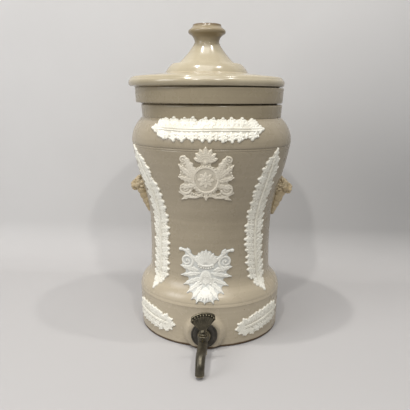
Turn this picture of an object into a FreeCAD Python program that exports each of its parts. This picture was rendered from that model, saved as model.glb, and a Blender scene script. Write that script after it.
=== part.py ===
import FreeCAD, Part
import math
import os

import Sketcher

Vector = FreeCAD.Vector
Rotation = FreeCAD.Rotation
Placement = FreeCAD.Placement

# Driving dimensions, in millimetres and degrees
dimensions = {
    # Stoneware jar, from the foot up
    "footTaper": 1.5,
    "footRound": 2.5,
    "baseRadius": 98.6,
    "baseHeight": 55,
    "ledgeRise": 16.5,
    "flareRise": 20.5,
    "waistRadius": 83.4,
    "waistRise": 34,
    "swellRise": 38,
    "bellyRadius": 107.9,
    "bellyRise": 95,
    "shoulderRise": 32,
    "neckRadius": 94.6,
    "neckInset": 1.4,
    "neckRise": 17,
    "upperHeightShare": 0.49,
    "ledgeShare": 0.533,
    "ledgeBendShare": 0.91,
    "flareBendShare": 0.1,
    "flareShare": 0.026,
    "swellShare": 0.06,
    "swellBendShare": 0.26,
    "upperShare": 0.54,
    "bellyBendShare": 0.8,
    "shoulderBendShare": 0.8,
    "jarWall": 9,
    "jarFloor": 7.5,
    "innerCorner": 7,
    # Filter pot that drops into the neck
    "potRimRadius": 99.5,
    "potRimHeight": 21,
    "potRimTaper": 1.2,
    "potRimEdge": 1.2,
    "potRadius": 78.5,
    "potTaper": 6,
    "potDepth": 112,
    "potWall": 8,
    "potFloor": 8,
    "potShift": 3.5,
    "potHoleRadius": 4,
    "potHoleRing": 36,
    "potHoleCount": 6,
    "seatGapHeight": 1.5,
    "seatInset": 2,
    # Carbon block and strainer plate inside the pot
    "carbonHeight": 40,
    "carbonClearance": 2,
    "plateThickness": 7,
    "plateHoleRadius": 3,
    "plateHoleRing": 42,
    "plateHoleCount": 8,
    "plateKnobRadius": 11,
    "plateKnobHeight": 12,
    "plateKnobWaistShare": 0.6,
    "plateKnobWaistRiseShare": 0.4,
    "plateKnobEdgeRiseShare": 0.7,
    "plateKnobTopShare": 0.7,
    # Lid
    "lidRadius": 104.1,
    "lidRimHeight": 14,
    "lidRimInset": 2,
    "lidShoulderInset": 7.6,
    "lidWall": 7,
    "lidShift": 7.3,
    "lidTopRise": 5,
    "domeRadius": 55.2,
    "domeTopRadius": 45.6,
    "domeRise": 12,
    "domeCoveWidth": 3.4,
    "domeCoveRise": 0.8,
    "neckFootRadius": 38.2,
    "lidNeckRadius": 16.4,
    "lidNeckRise": 29,
    "neckBeadWidth": 1,
    "neckBeadHeight": 1.5,
    "neckPlainHeight": 3,
    "knobRadius": 24.8,
    "knobRise": 11.6,
    "knobTopRadius": 18.6,
    "knobTopRise": 9.4,
    "knobEdgeInset": 1.1,
    "knobEdgeHeight": 2.6,
    "knobDiscHeight": 3.6,
    "knobDiscFlare": 0.8,
    "lidRimCornerShare": 0.73,
    "lidRimBulgeShare": 0.38,
    "lidShoulderBendShare": 0.62,
    "lidShoulderRiseShare": 0.92,
    "domeBendShare": 0.6,
    "domeBendRiseShare": 0.53,
    "coneBendShare": 0.52,
    "coneBendRiseShare": 0.36,
    "knobBendShare": 0.25,
    "knobBendRiseShare": 0.42,
    "lidRingDepth": 8,
    "lidRingWall": 6,
    "lidRingClearance": 1,
    # Tap: a radial tail through the base wall, a barrel and a spout
    "tapHeight": 21,
    "bossRadius": 31,
    "bossFaceRadius": 19,
    "bossReach": 3,
    "bossRootShare": 0.8,
    "bossBendShare": 0.65,
    "tailRadius": 6.5,
    "tailClearance": 0.7,
    "tailEnd": 2.5,
    "waterRadius": 3.4,
    "backNutFlats": 20,
    "backNutThickness": 7,
    "threadClearance": 0.05,
    "washerRadius": 12.5,
    "washerThickness": 2.5,
    "sealRadius": 15,
    "sealThickness": 1.5,
    "flangeRadius": 17,
    "flangeThickness": 2.2,
    "shoulderRadius": 8.2,
    "shoulderLength": 4,
    "armRadius": 5.6,
    "barrelReach": 20,
    "barrelTopRadius": 6.9,
    "barrelBottomRadius": 5.6,
    "barrelMiddleShare": 0.25,
    "barrelCollarShare": 0.7,
    "barrelAbove": 10.5,
    "barrelBelow": 10,
    "plugTopRadius": 4.9,
    "plugBottomRadius": 3.9,
    "runningClearance": 0.05,
    "faceClearance": 0.3,
    "portRadius": 2,
    "spoutRadius": 5.7,
    "spoutReach": 46.5,
    "spoutBend": 15,
    "spoutDrop": 16.5,
    "spoutWall": 1.9,
    "keyRestAngle": 20,
    "keyCollarRadius": 5.2,
    "keyCollarHeight": 2,
    "keyNeckRadius": 3.3,
    "keyNeckHeight": 4,
    "fanFootSinkShare": 0.2,
    "fanFootWidth": 7,
    "fanWidth": 32.5,
    "fanHeight": 24,
    "fanThickness": 2.8,
    "fanCornerInset": 1.2,
    "fanCornerLowShare": 0.53,
    "fanCornerHighShare": 0.76,
    "plugNutFlats": 9,
    "plugNutThickness": 4,
    "plugWasherRadius": 5.4,
    "plugWasherThickness": 1.2,
    "plugScrewRadius": 2.4,
    "plugScrewEnd": 0.5,
    # Relief ornament laid on the wall with slip
    "slipGap": 0.12,
    "reliefHeight": 2.4,
    "topGarlandLength": 138,
    "topGarlandWidth": 31,
    "topGarlandRise": 20.5,
    "sideGarlandLength": 192,
    "sideGarlandWidth": 37,
    "sideGarlandRise": 89.5,
    "leftGarlandHeadLean": 33,
    "leftGarlandFootLean": 2,
    "rightGarlandHeadLean": 13,
    "rightGarlandFootLean": 11,
    "sideGarlandAngle": 47,
    "upperPanelWidth": 72,
    "upperPanelLength": 70,
    "upperPanelGap": 1,
    "lowerPanelWidth": 72,
    "lowerPanelLength": 73,
    "lowerPanelRise": 23.5,
    "sprayLength": 84,
    "sprayWidth": 32,
    "sprayHeight": 29,
    "sprayAngle": 48,
    "sprayTiltAngle": 5,
    # Lion-head lugs at the sides
    "lugHeight": 198,
    "lugHeadRadius": 11.5,
    "lugHeadStandOff": 2.7,
    "lugMuzzleRadius": 6.2,
    "lugMuzzleReach": 12.5,
    "lugMuzzleDrop": 7,
    "lugTailLength": 38,
    "lugMuzzleShare": 0.85,
    "lugTailTipShare": 0.4,
    "lugTailRootShare": 1.6,
    "lugTailRadius": 5,
    "lugTailSink": 9.5,
}

document = FreeCAD.newDocument("WaterPot")
sheet = document.addObject("Spreadsheet::Sheet", "sizes")
for rowNumber, (alias, number) in enumerate(dimensions.items(), start=1):
    cell = "A%d" % rowNumber
    sheet.set(cell, str(number))
    sheet.setAlias(cell, alias)
document.recompute()


# A length that carries its number and the sheet formula behind it
class Size:
    def __init__(self, value, formula):
        self.value = value
        self.formula = formula

    def joined(self, sign, other, value):
        return Size(value, "(%s %s %s)" % (self.formula, sign, asSize(other).formula))

    def __add__(self, other):
        return self.joined("+", other, self.value + asSize(other).value)

    def __sub__(self, other):
        return self.joined("-", other, self.value - asSize(other).value)

    def __mul__(self, other):
        return self.joined("*", other, self.value * asSize(other).value)

    def __truediv__(self, other):
        return self.joined("/", other, self.value / asSize(other).value)

    def __neg__(self):
        return Size(-self.value, "(0 - %s)" % self.formula)


def asSize(number):
    if isinstance(number, Size):
        return number
    return Size(float(number), "%g" % number)


def size(alias):
    return Size(float(sheet.get(alias)), "sizes.%s" % alias)


def bind(target, path, length):
    target.setExpression(path, asSize(length).formula)


def between(low, high, share):
    return low + (high - low) * share


def at(across, up):
    return (asSize(across), asSize(up))


# Holds a sketch point at a place given by two sizes
def pinPoint(sketch, item, end, across, up):
    for kind, axis, length in (("DistanceX", -2, across), ("DistanceY", -1, up)):
        if length.value == 0:
            sketch.addConstraint(Sketcher.Constraint("PointOnObject", item, end, axis))
            continue
        constraint = Sketcher.Constraint(kind, -1, 1, item, end, length.value)
        number = sketch.addConstraint(constraint)
        bind(sketch, "Constraints[%d]" % number, length)


# A closed outline: corners in order, and bends keyed by the corner they start
# from, each a point that the arc to the next corner passes through
def drawOutline(sketch, corners, bends):
    places = [Vector(across.value, up.value, 0) for across, up in corners]
    sides = []
    for index, start in enumerate(places):
        end = places[(index + 1) % len(places)]
        if index not in bends:
            side = sketch.addGeometry(Part.LineSegment(start, end))
            sides.append((side, 1, 2))
            continue
        across, up = bends[index]
        middle = Vector(across.value, up.value, 0)
        leftTurn = (middle - start).cross(end - middle).z > 0
        ordered = (start, middle, end) if leftTurn else (end, middle, start)
        side = sketch.addGeometry(Part.Arc(*ordered))
        sides.append((side, 1, 2) if leftTurn else (side, 2, 1))
        guide = sketch.addGeometry(Part.Point(middle), True)
        pinPoint(sketch, guide, 1, across, up)
        sketch.addConstraint(Sketcher.Constraint("PointOnObject", guide, 1, side))
    for index, (side, startEnd, farEnd) in enumerate(sides):
        nextSide, nextStart, nextFar = sides[(index + 1) % len(sides)]
        joint = Sketcher.Constraint("Coincident", side, farEnd, nextSide, nextStart)
        sketch.addConstraint(joint)
        pinPoint(sketch, side, startEnd, *corners[index])


def newSketch(body, role):
    sketch = body.newObject("Sketcher::SketchObject", body.Name + "Outline")
    plane = [plane for plane in body.Origin.OriginFeatures if plane.Role == role][0]
    sketch.AttachmentSupport = [(plane, "")]
    sketch.MapMode = "FlatFace"
    return sketch


# A turned piece: half an outline in radius and height, spun about its own axis
def turned(name, corners, bends=None):
    body = document.addObject("PartDesign::Body", name)
    sketch = newSketch(body, "XZ_Plane")
    drawOutline(sketch, corners, bends or {})
    spin = body.newObject("PartDesign::Revolution", name + "Spin")
    spin.Profile = sketch
    spin.ReferenceAxis = (sketch, ["V_Axis"])
    spin.Angle = 360
    document.recompute()
    return body


# A flat piece: an outline in width and height, thickened evenly both ways
def plate(name, corners, bends, thickness):
    body = document.addObject("PartDesign::Body", name)
    sketch = newSketch(body, "XZ_Plane")
    drawOutline(sketch, corners, bends)
    pad = body.newObject("PartDesign::Pad", name + "Pad")
    pad.Profile = sketch
    pad.Midplane = True
    bind(pad, "Length", thickness)
    document.recompute()
    return body


def cylinder(name, radius, height):
    piece = document.addObject("Part::Cylinder", name)
    bind(piece, "Radius", radius)
    bind(piece, "Height", height)
    return piece


def cone(name, bottomRadius, topRadius, height):
    piece = document.addObject("Part::Cone", name)
    bind(piece, "Radius1", bottomRadius)
    bind(piece, "Radius2", topRadius)
    bind(piece, "Height", height)
    return piece


def ellipsoid(name, upRadius, sideRadius):
    piece = document.addObject("Part::Ellipsoid", name)
    bind(piece, "Radius1", upRadius)
    bind(piece, "Radius2", sideRadius)
    bind(piece, "Radius3", sideRadius)
    return piece


def fused(name, pieces):
    whole = document.addObject("Part::MultiFuse", name)
    whole.Shapes = pieces
    return whole


def cut(name, blank, tool):
    rest = document.addObject("Part::Cut", name)
    rest.Base = blank
    rest.Tool = tool
    rest.Refine = False
    return rest


def common(name, first, second):
    shared = document.addObject("Part::Common", name)
    shared.Base = first
    shared.Tool = second
    return shared


# Places a piece by its own origin, each coordinate from the sheet
def place(piece, x=0, y=0, z=0, rotation=None):
    piece.Placement = Placement(Vector(0, 0, 0), rotation or Rotation())
    for axis, length in (("x", x), ("y", y), ("z", z)):
        bind(piece, "Placement.Base.%s" % axis, length)
    return piece


# A hexagon nut with a round bore, from its lower face up
def hexNut(name, flats, thickness, bore):
    prism = document.addObject("Part::Prism", name + "Blank")
    prism.Polygon = 6
    bind(prism, "Circumradius", flats / math.sqrt(3))
    bind(prism, "Height", thickness)
    return cut(name, prism, cylinder(name + "Bore", bore, thickness))


# A flat washer from its lower face up
def washer(name, radius, thickness, bore):
    return turned(name, [at(bore, 0), at(radius, 0), at(radius, thickness), at(bore, thickness)])


# Round holes in a ring, with one in the middle where the piece has no knob
def drill(name, blank, radius, ring, count, depth, middle):
    tools = []
    for index in range(int(count.value)):
        angle = math.radians(360 * index / int(count.value))
        hole = cylinder("%sHole%d" % (name, index), radius, depth)
        place(hole, x=ring * math.cos(angle), y=ring * math.sin(angle))
        tools.append(hole)
    if middle:
        tools.append(cylinder(name + "HoleMiddle", radius, depth))
    return cut(name, blank, fused(name + "Drills", tools))


# Lines and heights that several pieces share
outward = Rotation(Vector(1, 0, 0), 90)
ledgeHeight = size("baseHeight") + size("ledgeRise")
flareHeight = ledgeHeight + size("flareRise")
waistHeight = flareHeight + size("waistRise")
swellHeight = waistHeight + size("swellRise")
bellyHeight = swellHeight + size("bellyRise")
shoulderHeight = bellyHeight + size("shoulderRise")
jarHeight = shoulderHeight + size("neckRise")
shoulderTopRadius = size("neckRadius") - size("neckInset")
footRadius = size("baseRadius") - size("footTaper")
baseInner = size("baseRadius") - size("jarWall")
bossFace = size("baseRadius") + size("bossReach")
lidSeat = jarHeight + size("potRimHeight")
potInner = size("potRadius") - size("potWall")
potInnerFloor = potInner - size("potTaper")
carbonRadius = potInnerFloor - size("carbonClearance")
carbonBottom = size("potFloor") - size("potDepth")
threadRadius = size("tailRadius") + size("threadClearance")
flangeBack = bossFace + size("sealThickness")
flangeFront = flangeBack + size("flangeThickness")
barrelDistance = flangeFront + size("barrelReach")


# The jar's wall line from the foot to the lip, moved outward by a growth
def wallLine(growth):
    base = size("baseRadius")
    waist = size("waistRadius")
    belly = size("bellyRadius")
    baseTop = size("baseHeight")
    upperHeight = between(swellHeight, bellyHeight, size("upperHeightShare"))

    # A point a share of the way from the waist out to another radius
    def wallPoint(radius, share, height):
        return at(between(waist, radius, share) + growth, height)

    def halfway(low, high):
        return between(low, high, 0.5)

    corners = [
        at(footRadius + growth, size("footRound")),
        at(base + growth, baseTop),
        wallPoint(base, size("ledgeShare"), ledgeHeight),
        wallPoint(base, size("flareShare"), flareHeight),
        wallPoint(belly, size("swellShare"), swellHeight),
        wallPoint(belly, size("upperShare"), upperHeight),
        at(belly + growth, bellyHeight),
        at(shoulderTopRadius + growth, shoulderHeight),
        at(size("neckRadius") + growth, jarHeight - size("footRound")),
    ]
    shoulderBend = between(shoulderTopRadius, belly, size("shoulderBendShare"))
    bends = {
        1: wallPoint(base, size("ledgeBendShare"), halfway(baseTop, ledgeHeight)),
        2: wallPoint(base, size("flareBendShare"), halfway(ledgeHeight, flareHeight)),
        3: at(waist + growth, waistHeight),
        4: wallPoint(belly, size("swellBendShare"), halfway(swellHeight, upperHeight)),
        5: wallPoint(belly, size("bellyBendShare"), halfway(upperHeight, bellyHeight)),
        6: at(shoulderBend + growth, halfway(bellyHeight, shoulderHeight)),
    }
    return corners, bends


# How far from its axis the jar's wall is at a height
def wallRadiusAt(height):
    corners, bends = wallLine(asSize(0))
    for index, (low, high) in enumerate(zip(corners, corners[1:])):
        if not low[1].value <= height <= high[1].value:
            continue
        start, end = [Vector(across.value, up.value, 0) for across, up in (low, high)]
        if index not in bends:
            return start.x + (end.x - start.x) * (height - start.y) / (end.y - start.y)
        across, up = bends[index]
        middle = Vector(across.value, up.value, 0)
        circle = Part.Arc(start, middle, end).toShape().Curve
        reach = math.sqrt(circle.Radius ** 2 - (height - circle.Center.y) ** 2)
        outside = middle.x > circle.Center.x
        return circle.Center.x + (reach if outside else -reach)
    return size("neckRadius").value


# The outside of the jar as a solid, for trimming ornament to the wall
def wallEnvelope(name, growth):
    corners, bends = wallLine(growth)
    lip = jarHeight - size("footRound")
    return turned(name, corners + [at(0, lip), at(0, size("footRound"))], bends)


def buildJar():
    corners, outerBends = wallLine(asSize(0))
    inner, innerBends = wallLine(-size("jarWall"))
    bends = dict(outerBends)
    lip = size("footRound")
    roundShare = 1 - math.sqrt(0.5)
    bends[len(corners) - 1] = at(size("neckRadius") - lip * roundShare, jarHeight - lip * roundShare)
    corners.append(at(size("neckRadius") - lip, jarHeight))
    corners.append(at(size("neckRadius") - size("jarWall"), jarHeight))
    # The inside follows the outside back down from the shoulder to the base
    for index in range(7, 0, -1):
        if index > 1:
            bends[len(corners)] = innerBends[index - 1]
        corners.append(inner[index])
    corners.append(at(baseInner, size("jarFloor") + size("innerCorner")))
    corners.append(at(baseInner - size("innerCorner"), size("jarFloor")))
    corners.append(at(0, size("jarFloor")))
    corners.append(at(0, 0))
    bends[len(corners)] = at(footRadius - lip * roundShare, lip * roundShare)
    corners.append(at(footRadius - lip, 0))
    wallBody = turned("jarWallBody", corners, bends)

    # Raised disc of clay round the tap, cut off at the foot
    base = size("baseRadius")
    bossStart = base - size("jarWall") * size("bossRootShare")
    bossEdge = base - size("bossRadius") * size("bossRadius") / (base * 2)
    bossMiddle = between(size("bossFaceRadius"), size("bossRadius"), 0.5)
    boss = turned("jarBoss", [
        at(0, bossStart),
        at(size("bossRadius"), bossStart),
        at(size("bossRadius"), bossEdge),
        at(size("bossFaceRadius"), bossFace),
        at(0, bossFace),
    ], {2: at(bossMiddle, between(bossEdge, bossFace, size("bossBendShare")))})
    place(boss, z=size("tapHeight"), rotation=outward)
    belowFoot = cylinder("jarBelowFoot", size("bellyRadius") * 2, size("bossRadius"))
    place(belowFoot, z=-size("bossRadius"))
    tapHole = cylinder("jarTapHole", size("tailRadius") + size("tailClearance"), bossFace)
    place(tapHole, z=size("tapHeight"), rotation=outward)
    nutSeat = cylinder("jarNutSeat", size("washerRadius") + size("tailClearance"), baseInner)
    place(nutSeat, z=size("tapHeight"), rotation=outward)
    solid = fused("jarWithBoss", [wallBody, cut("jarBossTrimmed", boss, belowFoot)])
    whole = cut("jarWhole", cut("jarDrilled", solid, tapHole), nutSeat)
    # The wide base and the waisted wall above it are two pieces of one pot
    belowLedge = cylinder("jarBelowLedge", size("bellyRadius") * 2, ledgeHeight)
    aboveLedge = cylinder("jarAboveLedge", size("bellyRadius") * 2, jarHeight)
    place(aboveLedge, z=ledgeHeight)
    return {"jar": cut("jar", whole, belowLedge), "jar_base": cut("jar_base", whole, aboveLedge)}


def buildPot():
    rim = size("potRimRadius")
    edge = size("potRimEdge")
    gap = size("seatGapHeight")
    top = size("potRimHeight")
    blank = turned("potBlank", [
        at(size("potRadius") - size("potTaper"), -size("potDepth")),
        at(size("potRadius"), 0),
        at(size("neckRadius") - size("seatInset") * 2, 0),
        at(size("neckRadius") - size("seatInset"), gap),
        at(rim - size("potRimTaper") - edge, gap),
        at(rim - size("potRimTaper"), gap + edge),
        at(rim, top - edge),
        at(rim - edge, top),
        at(potInner, top),
        at(potInner, 0),
        at(potInnerFloor, carbonBottom),
        at(0, carbonBottom),
        at(0, -size("potDepth")),
    ])
    place(blank, z=size("potDepth"))
    ring = size("potHoleRing")
    pot = drill("filter_pot", blank, size("potHoleRadius"), ring, size("potHoleCount"),
                size("potFloor"), True)
    return place(pot, x=-size("potShift"), z=jarHeight - size("potDepth"))


def buildCarbon():
    block = cylinder("carbon_block", carbonRadius, size("carbonHeight"))
    return place(block, x=-size("potShift"), z=jarHeight + carbonBottom)


def buildPlate():
    thickness = size("plateThickness")
    knob = size("plateKnobRadius")
    knobTop = thickness + size("plateKnobHeight")
    blank = turned("plateBlank", [
        at(0, 0),
        at(carbonRadius, 0),
        at(carbonRadius, thickness),
        at(knob, thickness),
        at(knob * size("plateKnobWaistShare"), between(thickness, knobTop, size("plateKnobWaistRiseShare"))),
        at(knob, between(thickness, knobTop, size("plateKnobEdgeRiseShare"))),
        at(knob * size("plateKnobTopShare"), knobTop),
        at(0, knobTop),
    ])
    strainer = drill("strainer_plate", blank, size("plateHoleRadius"), size("plateHoleRing"),
                     size("plateHoleCount"), thickness, False)
    return place(strainer, x=-size("potShift"), z=jarHeight + carbonBottom + size("carbonHeight"))


# The lid from its seat on the pot's rim up to the knob, hollow beneath
def buildLid():
    rim = size("lidRadius")
    rimTop = size("lidRimHeight")
    domeFoot = rimTop + size("lidTopRise")
    domeTop = domeFoot + size("domeRise")
    neckTop = domeTop + size("lidNeckRise")
    knobMiddle = neckTop + size("knobRise")
    knobTop = knobMiddle + size("knobTopRise")
    neck = size("lidNeckRadius")
    knob = size("knobRadius")
    foot = size("neckFootRadius")
    ringOuter = potInner - size("lidRingClearance") - size("lidShift") + size("potShift")
    ringInner = ringOuter - size("lidRingWall")
    wall = size("lidWall")
    seatEdge = size("potRimRadius") - size("potRimEdge")
    rimSide = rim - size("lidRimInset")
    rimShoulder = rim - size("lidShoulderInset")
    beadTop = neckTop - size("neckPlainHeight")
    knobEdge = knob - size("knobEdgeInset")
    disc = size("knobTopRadius")
    lid = turned("lid", [
        at(seatEdge - size("potRimEdge"), 0),
        at(seatEdge, size("seatGapHeight")),
        at(rimSide, size("seatGapHeight")),
        at(rimSide, rimTop * size("lidRimCornerShare")),
        at(rimShoulder, rimTop),
        at(size("domeRadius") + size("domeCoveWidth"), domeFoot - size("domeCoveRise")),
        at(size("domeRadius"), domeFoot),
        at(size("domeTopRadius"), domeTop),
        at(foot, domeTop),
        at(neck + size("neckBeadWidth"), beadTop - size("neckBeadHeight")),
        at(neck, beadTop),
        at(neck, neckTop),
        at(knobEdge, knobMiddle - size("knobEdgeHeight")),
        at(knobEdge, knobMiddle + size("knobEdgeHeight")),
        at(disc + size("knobDiscFlare"), knobTop - size("knobDiscHeight")),
        at(disc, knobTop),
        at(0, knobTop),
        at(0, domeTop - wall),
        at(foot - wall, domeTop - wall),
        at(size("domeTopRadius") - wall, domeFoot),
        at(ringInner, domeFoot - wall),
        at(ringInner, -size("lidRingDepth")),
        at(ringOuter, -size("lidRingDepth")),
        at(ringOuter, 0),
    ], {
        2: at(rim, rimTop * size("lidRimBulgeShare")),
        3: at(between(rimShoulder, rimSide, size("lidShoulderBendShare")),
              rimTop * size("lidShoulderRiseShare")),
        6: at(between(size("domeTopRadius"), size("domeRadius"), size("domeBendShare")),
              between(domeFoot, domeTop, size("domeBendRiseShare"))),
        8: at(between(neck, foot, size("coneBendShare")),
              between(domeTop, neckTop, size("coneBendRiseShare"))),
        11: at(between(neck, knob, size("knobBendShare")),
               between(neckTop, knobMiddle, size("knobBendRiseShare"))),
        12: at(knob, knobMiddle),
    })
    return place(lid, x=-size("lidShift"), z=lidSeat)


def alongTap(piece, distance):
    return place(piece, y=-distance, z=size("tapHeight"), rotation=outward)


def buildFastening():
    back = hexNut("tap_backnut", size("backNutFlats"), size("backNutThickness"), threadRadius)
    inner = washer("tap_inner_washer", size("washerRadius"), size("washerThickness"), threadRadius)
    outer = washer("tap_outer_washer", size("sealRadius"), size("sealThickness"), threadRadius)
    flange = washer("tap_flange", size("flangeRadius"), size("flangeThickness"), threadRadius)
    alongTap(back, baseInner - size("washerThickness") - size("backNutThickness"))
    alongTap(inner, baseInner - size("washerThickness"))
    alongTap(outer, bossFace)
    alongTap(flange, flangeBack)
    return {"tap_backnut": back, "tap_inner_washer": inner, "tap_outer_washer": outer, "tap_flange": flange}


# A pipe that runs straight out from the barrel and bends down to the outlet
def spoutRun(name, radius):
    bend = size("spoutBend")
    straight = size("spoutReach") - bend
    run = alongTap(cylinder(name + "Run", radius, straight), barrelDistance)
    elbow = document.addObject("Part::Torus", name + "Elbow")
    bind(elbow, "Radius1", bend)
    bind(elbow, "Radius2", radius)
    elbow.Angle3 = 90
    # Stands the quarter ring up so that it leaves the run forward and ends facing down
    upright = Rotation(Vector(0, 0, 1), -90) * Rotation(Vector(1, 0, 0), 90)
    place(elbow, y=-(barrelDistance + straight), z=size("tapHeight") - bend, rotation=upright)
    end = cylinder(name + "End", radius, size("spoutDrop") - bend)
    reach = barrelDistance + size("spoutReach")
    place(end, y=-reach, z=size("tapHeight") - size("spoutDrop"))
    return fused(name, [run, elbow, end])


def buildTapBody():
    tailStart = baseInner - size("washerThickness") - size("backNutThickness") - size("tailEnd")
    tail = alongTap(cylinder("tapTail", size("tailRadius"), flangeFront - tailStart), tailStart)
    shoulder = cylinder("tapShoulder", size("shoulderRadius"), size("shoulderLength"))
    alongTap(shoulder, flangeFront)
    arm = alongTap(cylinder("tapArm", size("armRadius"), size("barrelReach")), flangeFront)
    above = size("barrelAbove")
    below = size("barrelBelow")
    barrel = turned("tapBarrel", [
        at(0, -below),
        at(size("barrelBottomRadius"), -below),
        at(between(size("barrelBottomRadius"), size("barrelTopRadius"), size("barrelMiddleShare")), 0),
        at(size("barrelTopRadius"), above * size("barrelCollarShare")),
        at(size("barrelTopRadius"), above),
        at(0, above),
    ])
    place(barrel, y=-barrelDistance, z=size("tapHeight"))
    spout = spoutRun("tapSpout", size("spoutRadius"))
    gap = size("runningClearance")
    plugBore = cone("tapPlugBore", size("plugBottomRadius") + gap, size("plugTopRadius") + gap,
                    above + below)
    place(plugBore, y=-barrelDistance, z=size("tapHeight") - below)
    water = cylinder("tapWaterBore", size("waterRadius"), barrelDistance - tailStart)
    alongTap(water, tailStart)
    spoutBore = spoutRun("tapSpoutBore", size("spoutRadius") - size("spoutWall"))
    solid = fused("tapCasting", [tail, shoulder, arm, barrel, spout])
    return cut("tap_body", solid, fused("tapBores", [plugBore, water, spoutBore]))


# The ground plug with its fan-shaped key, about the plug's own upright axis
def buildPlug():
    above = size("barrelAbove")
    below = size("barrelBelow")
    face = size("faceClearance")
    washerTop = -below - face
    nutTop = washerTop - size("plugWasherThickness")
    nutBottom = nutTop - size("plugNutThickness")
    collarTop = above + face + size("keyCollarHeight")
    neckTop = collarTop + size("keyNeckHeight")
    stem = turned("plugStem", [
        at(0, nutBottom - size("plugScrewEnd")),
        at(size("plugScrewRadius"), nutBottom - size("plugScrewEnd")),
        at(size("plugScrewRadius"), -below),
        at(size("plugBottomRadius"), -below),
        at(size("plugTopRadius"), above),
        at(size("plugTopRadius"), above + face),
        at(size("keyCollarRadius"), above + face),
        at(size("keyCollarRadius"), collarTop),
        at(size("keyNeckRadius"), collarTop),
        at(size("keyNeckRadius"), neckTop),
        at(0, neckTop),
    ])
    half = size("fanWidth") / 2
    side = half - size("fanCornerInset")
    fanFoot = neckTop - size("keyNeckHeight") * size("fanFootSinkShare")
    fanTop = fanFoot + size("fanHeight")
    cornerLow = between(fanFoot, fanTop, size("fanCornerLowShare"))
    cornerHigh = between(fanFoot, fanTop, size("fanCornerHighShare"))
    cornerMiddle = between(cornerLow, cornerHigh, 0.5)
    fan = plate("plugFan", [
        at(-size("fanFootWidth") / 2, fanFoot),
        at(size("fanFootWidth") / 2, fanFoot),
        at(side, cornerLow),
        at(side, cornerHigh),
        at(-side, cornerHigh),
        at(-side, cornerLow),
    ], {2: at(half, cornerMiddle), 3: at(0, fanTop), 4: at(-half, cornerMiddle)}, size("fanThickness"))
    port = cylinder("plugPort", size("portRadius"), size("plugTopRadius") * 4)
    place(port, x=-size("plugTopRadius") * 2, rotation=Rotation(Vector(0, 1, 0), 90))
    plug = cut("tap_plug", fused("plugSolid", [stem, fan]), port)
    screw = size("plugScrewRadius") + size("threadClearance")
    ring = washer("plug_washer", size("plugWasherRadius"), size("plugWasherThickness"), screw)
    nut = hexNut("plug_nut", size("plugNutFlats"), size("plugNutThickness"), screw)
    axis = barrelDistance
    height = size("tapHeight")
    place(plug, y=-axis, z=height, rotation=Rotation(Vector(0, 0, 1), 1))
    bind(plug, "Placement.Rotation.Angle", size("keyRestAngle"))
    place(ring, y=-axis, z=height + nutTop)
    place(nut, y=-axis, z=height + nutBottom)
    return {"tap_plug": plug, "plug_washer": ring, "plug_nut": nut}


# A flat shape, stood up facing outward at a turn about the jar's axis, thick
# enough to pass right through the jar's wall
def reliefBlank(name, points, turn, height, tilt=0):
    nearShare = 0.5
    farShare = 1.5
    near = size("waistRadius").value * nearShare
    far = size("bellyRadius").value * farShare
    corners = [Vector(across, up, near) for across, up in points]
    face = Part.Face(Part.makePolygon(corners + corners[:1]))
    blank = document.addObject("Part::Feature", name + "Blank")
    blank.Shape = face.extrude(Vector(0, 0, far - near))
    facing = Rotation(Vector(0, 0, 1), turn) * outward * Rotation(Vector(0, 0, 1), tilt)
    blank.Placement = Placement(Vector(0, 0, height), facing)
    return blank


# Leaf tips and notches along both edges of a strip that is pointed at both ends
def leafyStrip(length, width, leaves, startTaper, endTaper):
    endShare = 0.12
    notchShare = 0.74
    notchStep = 0.1
    tipStep = 0.75

    def halfWidth(along):
        rise = max(0, min(1, along / startTaper, (1 - along) / endTaper))
        return width / 2 * between(endShare, 1, rise)

    def edge(side):
        points = []
        for leaf in range(leaves):
            notch = (leaf + notchStep) / leaves
            tip = (leaf + tipStep) / leaves
            points.append((side * halfWidth(notch) * notchShare, length * (notch - 0.5)))
            points.append((side * halfWidth(tip), length * (tip - 0.5)))
        return points

    return edge(1) + [(0, length / 2)] + edge(-1)[::-1] + [(0, -length / 2)]


# The same strip with its head and foot leaning to one side
def leaning(points, length, head, foot):
    def lean(up):
        share = up / length * 2
        return (head if share > 0 else foot) * share * share

    return [(across + lean(up), up) for across, up in points]


# An oval with lobes round its edge, drawn in towards its foot
def lobedOval(width, length, lobes, footShare):
    lobeDepth = 0.07
    points = []
    lobeSteps = 6
    steps = lobes * lobeSteps
    for step in range(steps):
        angle = 2 * math.pi * step / steps
        lobe = 1 - lobeDepth + lobeDepth * math.cos(lobes * angle)
        up = math.sin(angle)
        narrow = 1 - footShare * max(0, -up)
        points.append((width / 2 * lobe * narrow * math.cos(angle), length / 2 * lobe * up))
    return points


def swapped(points):
    return [(up, across) for across, up in points]


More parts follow.
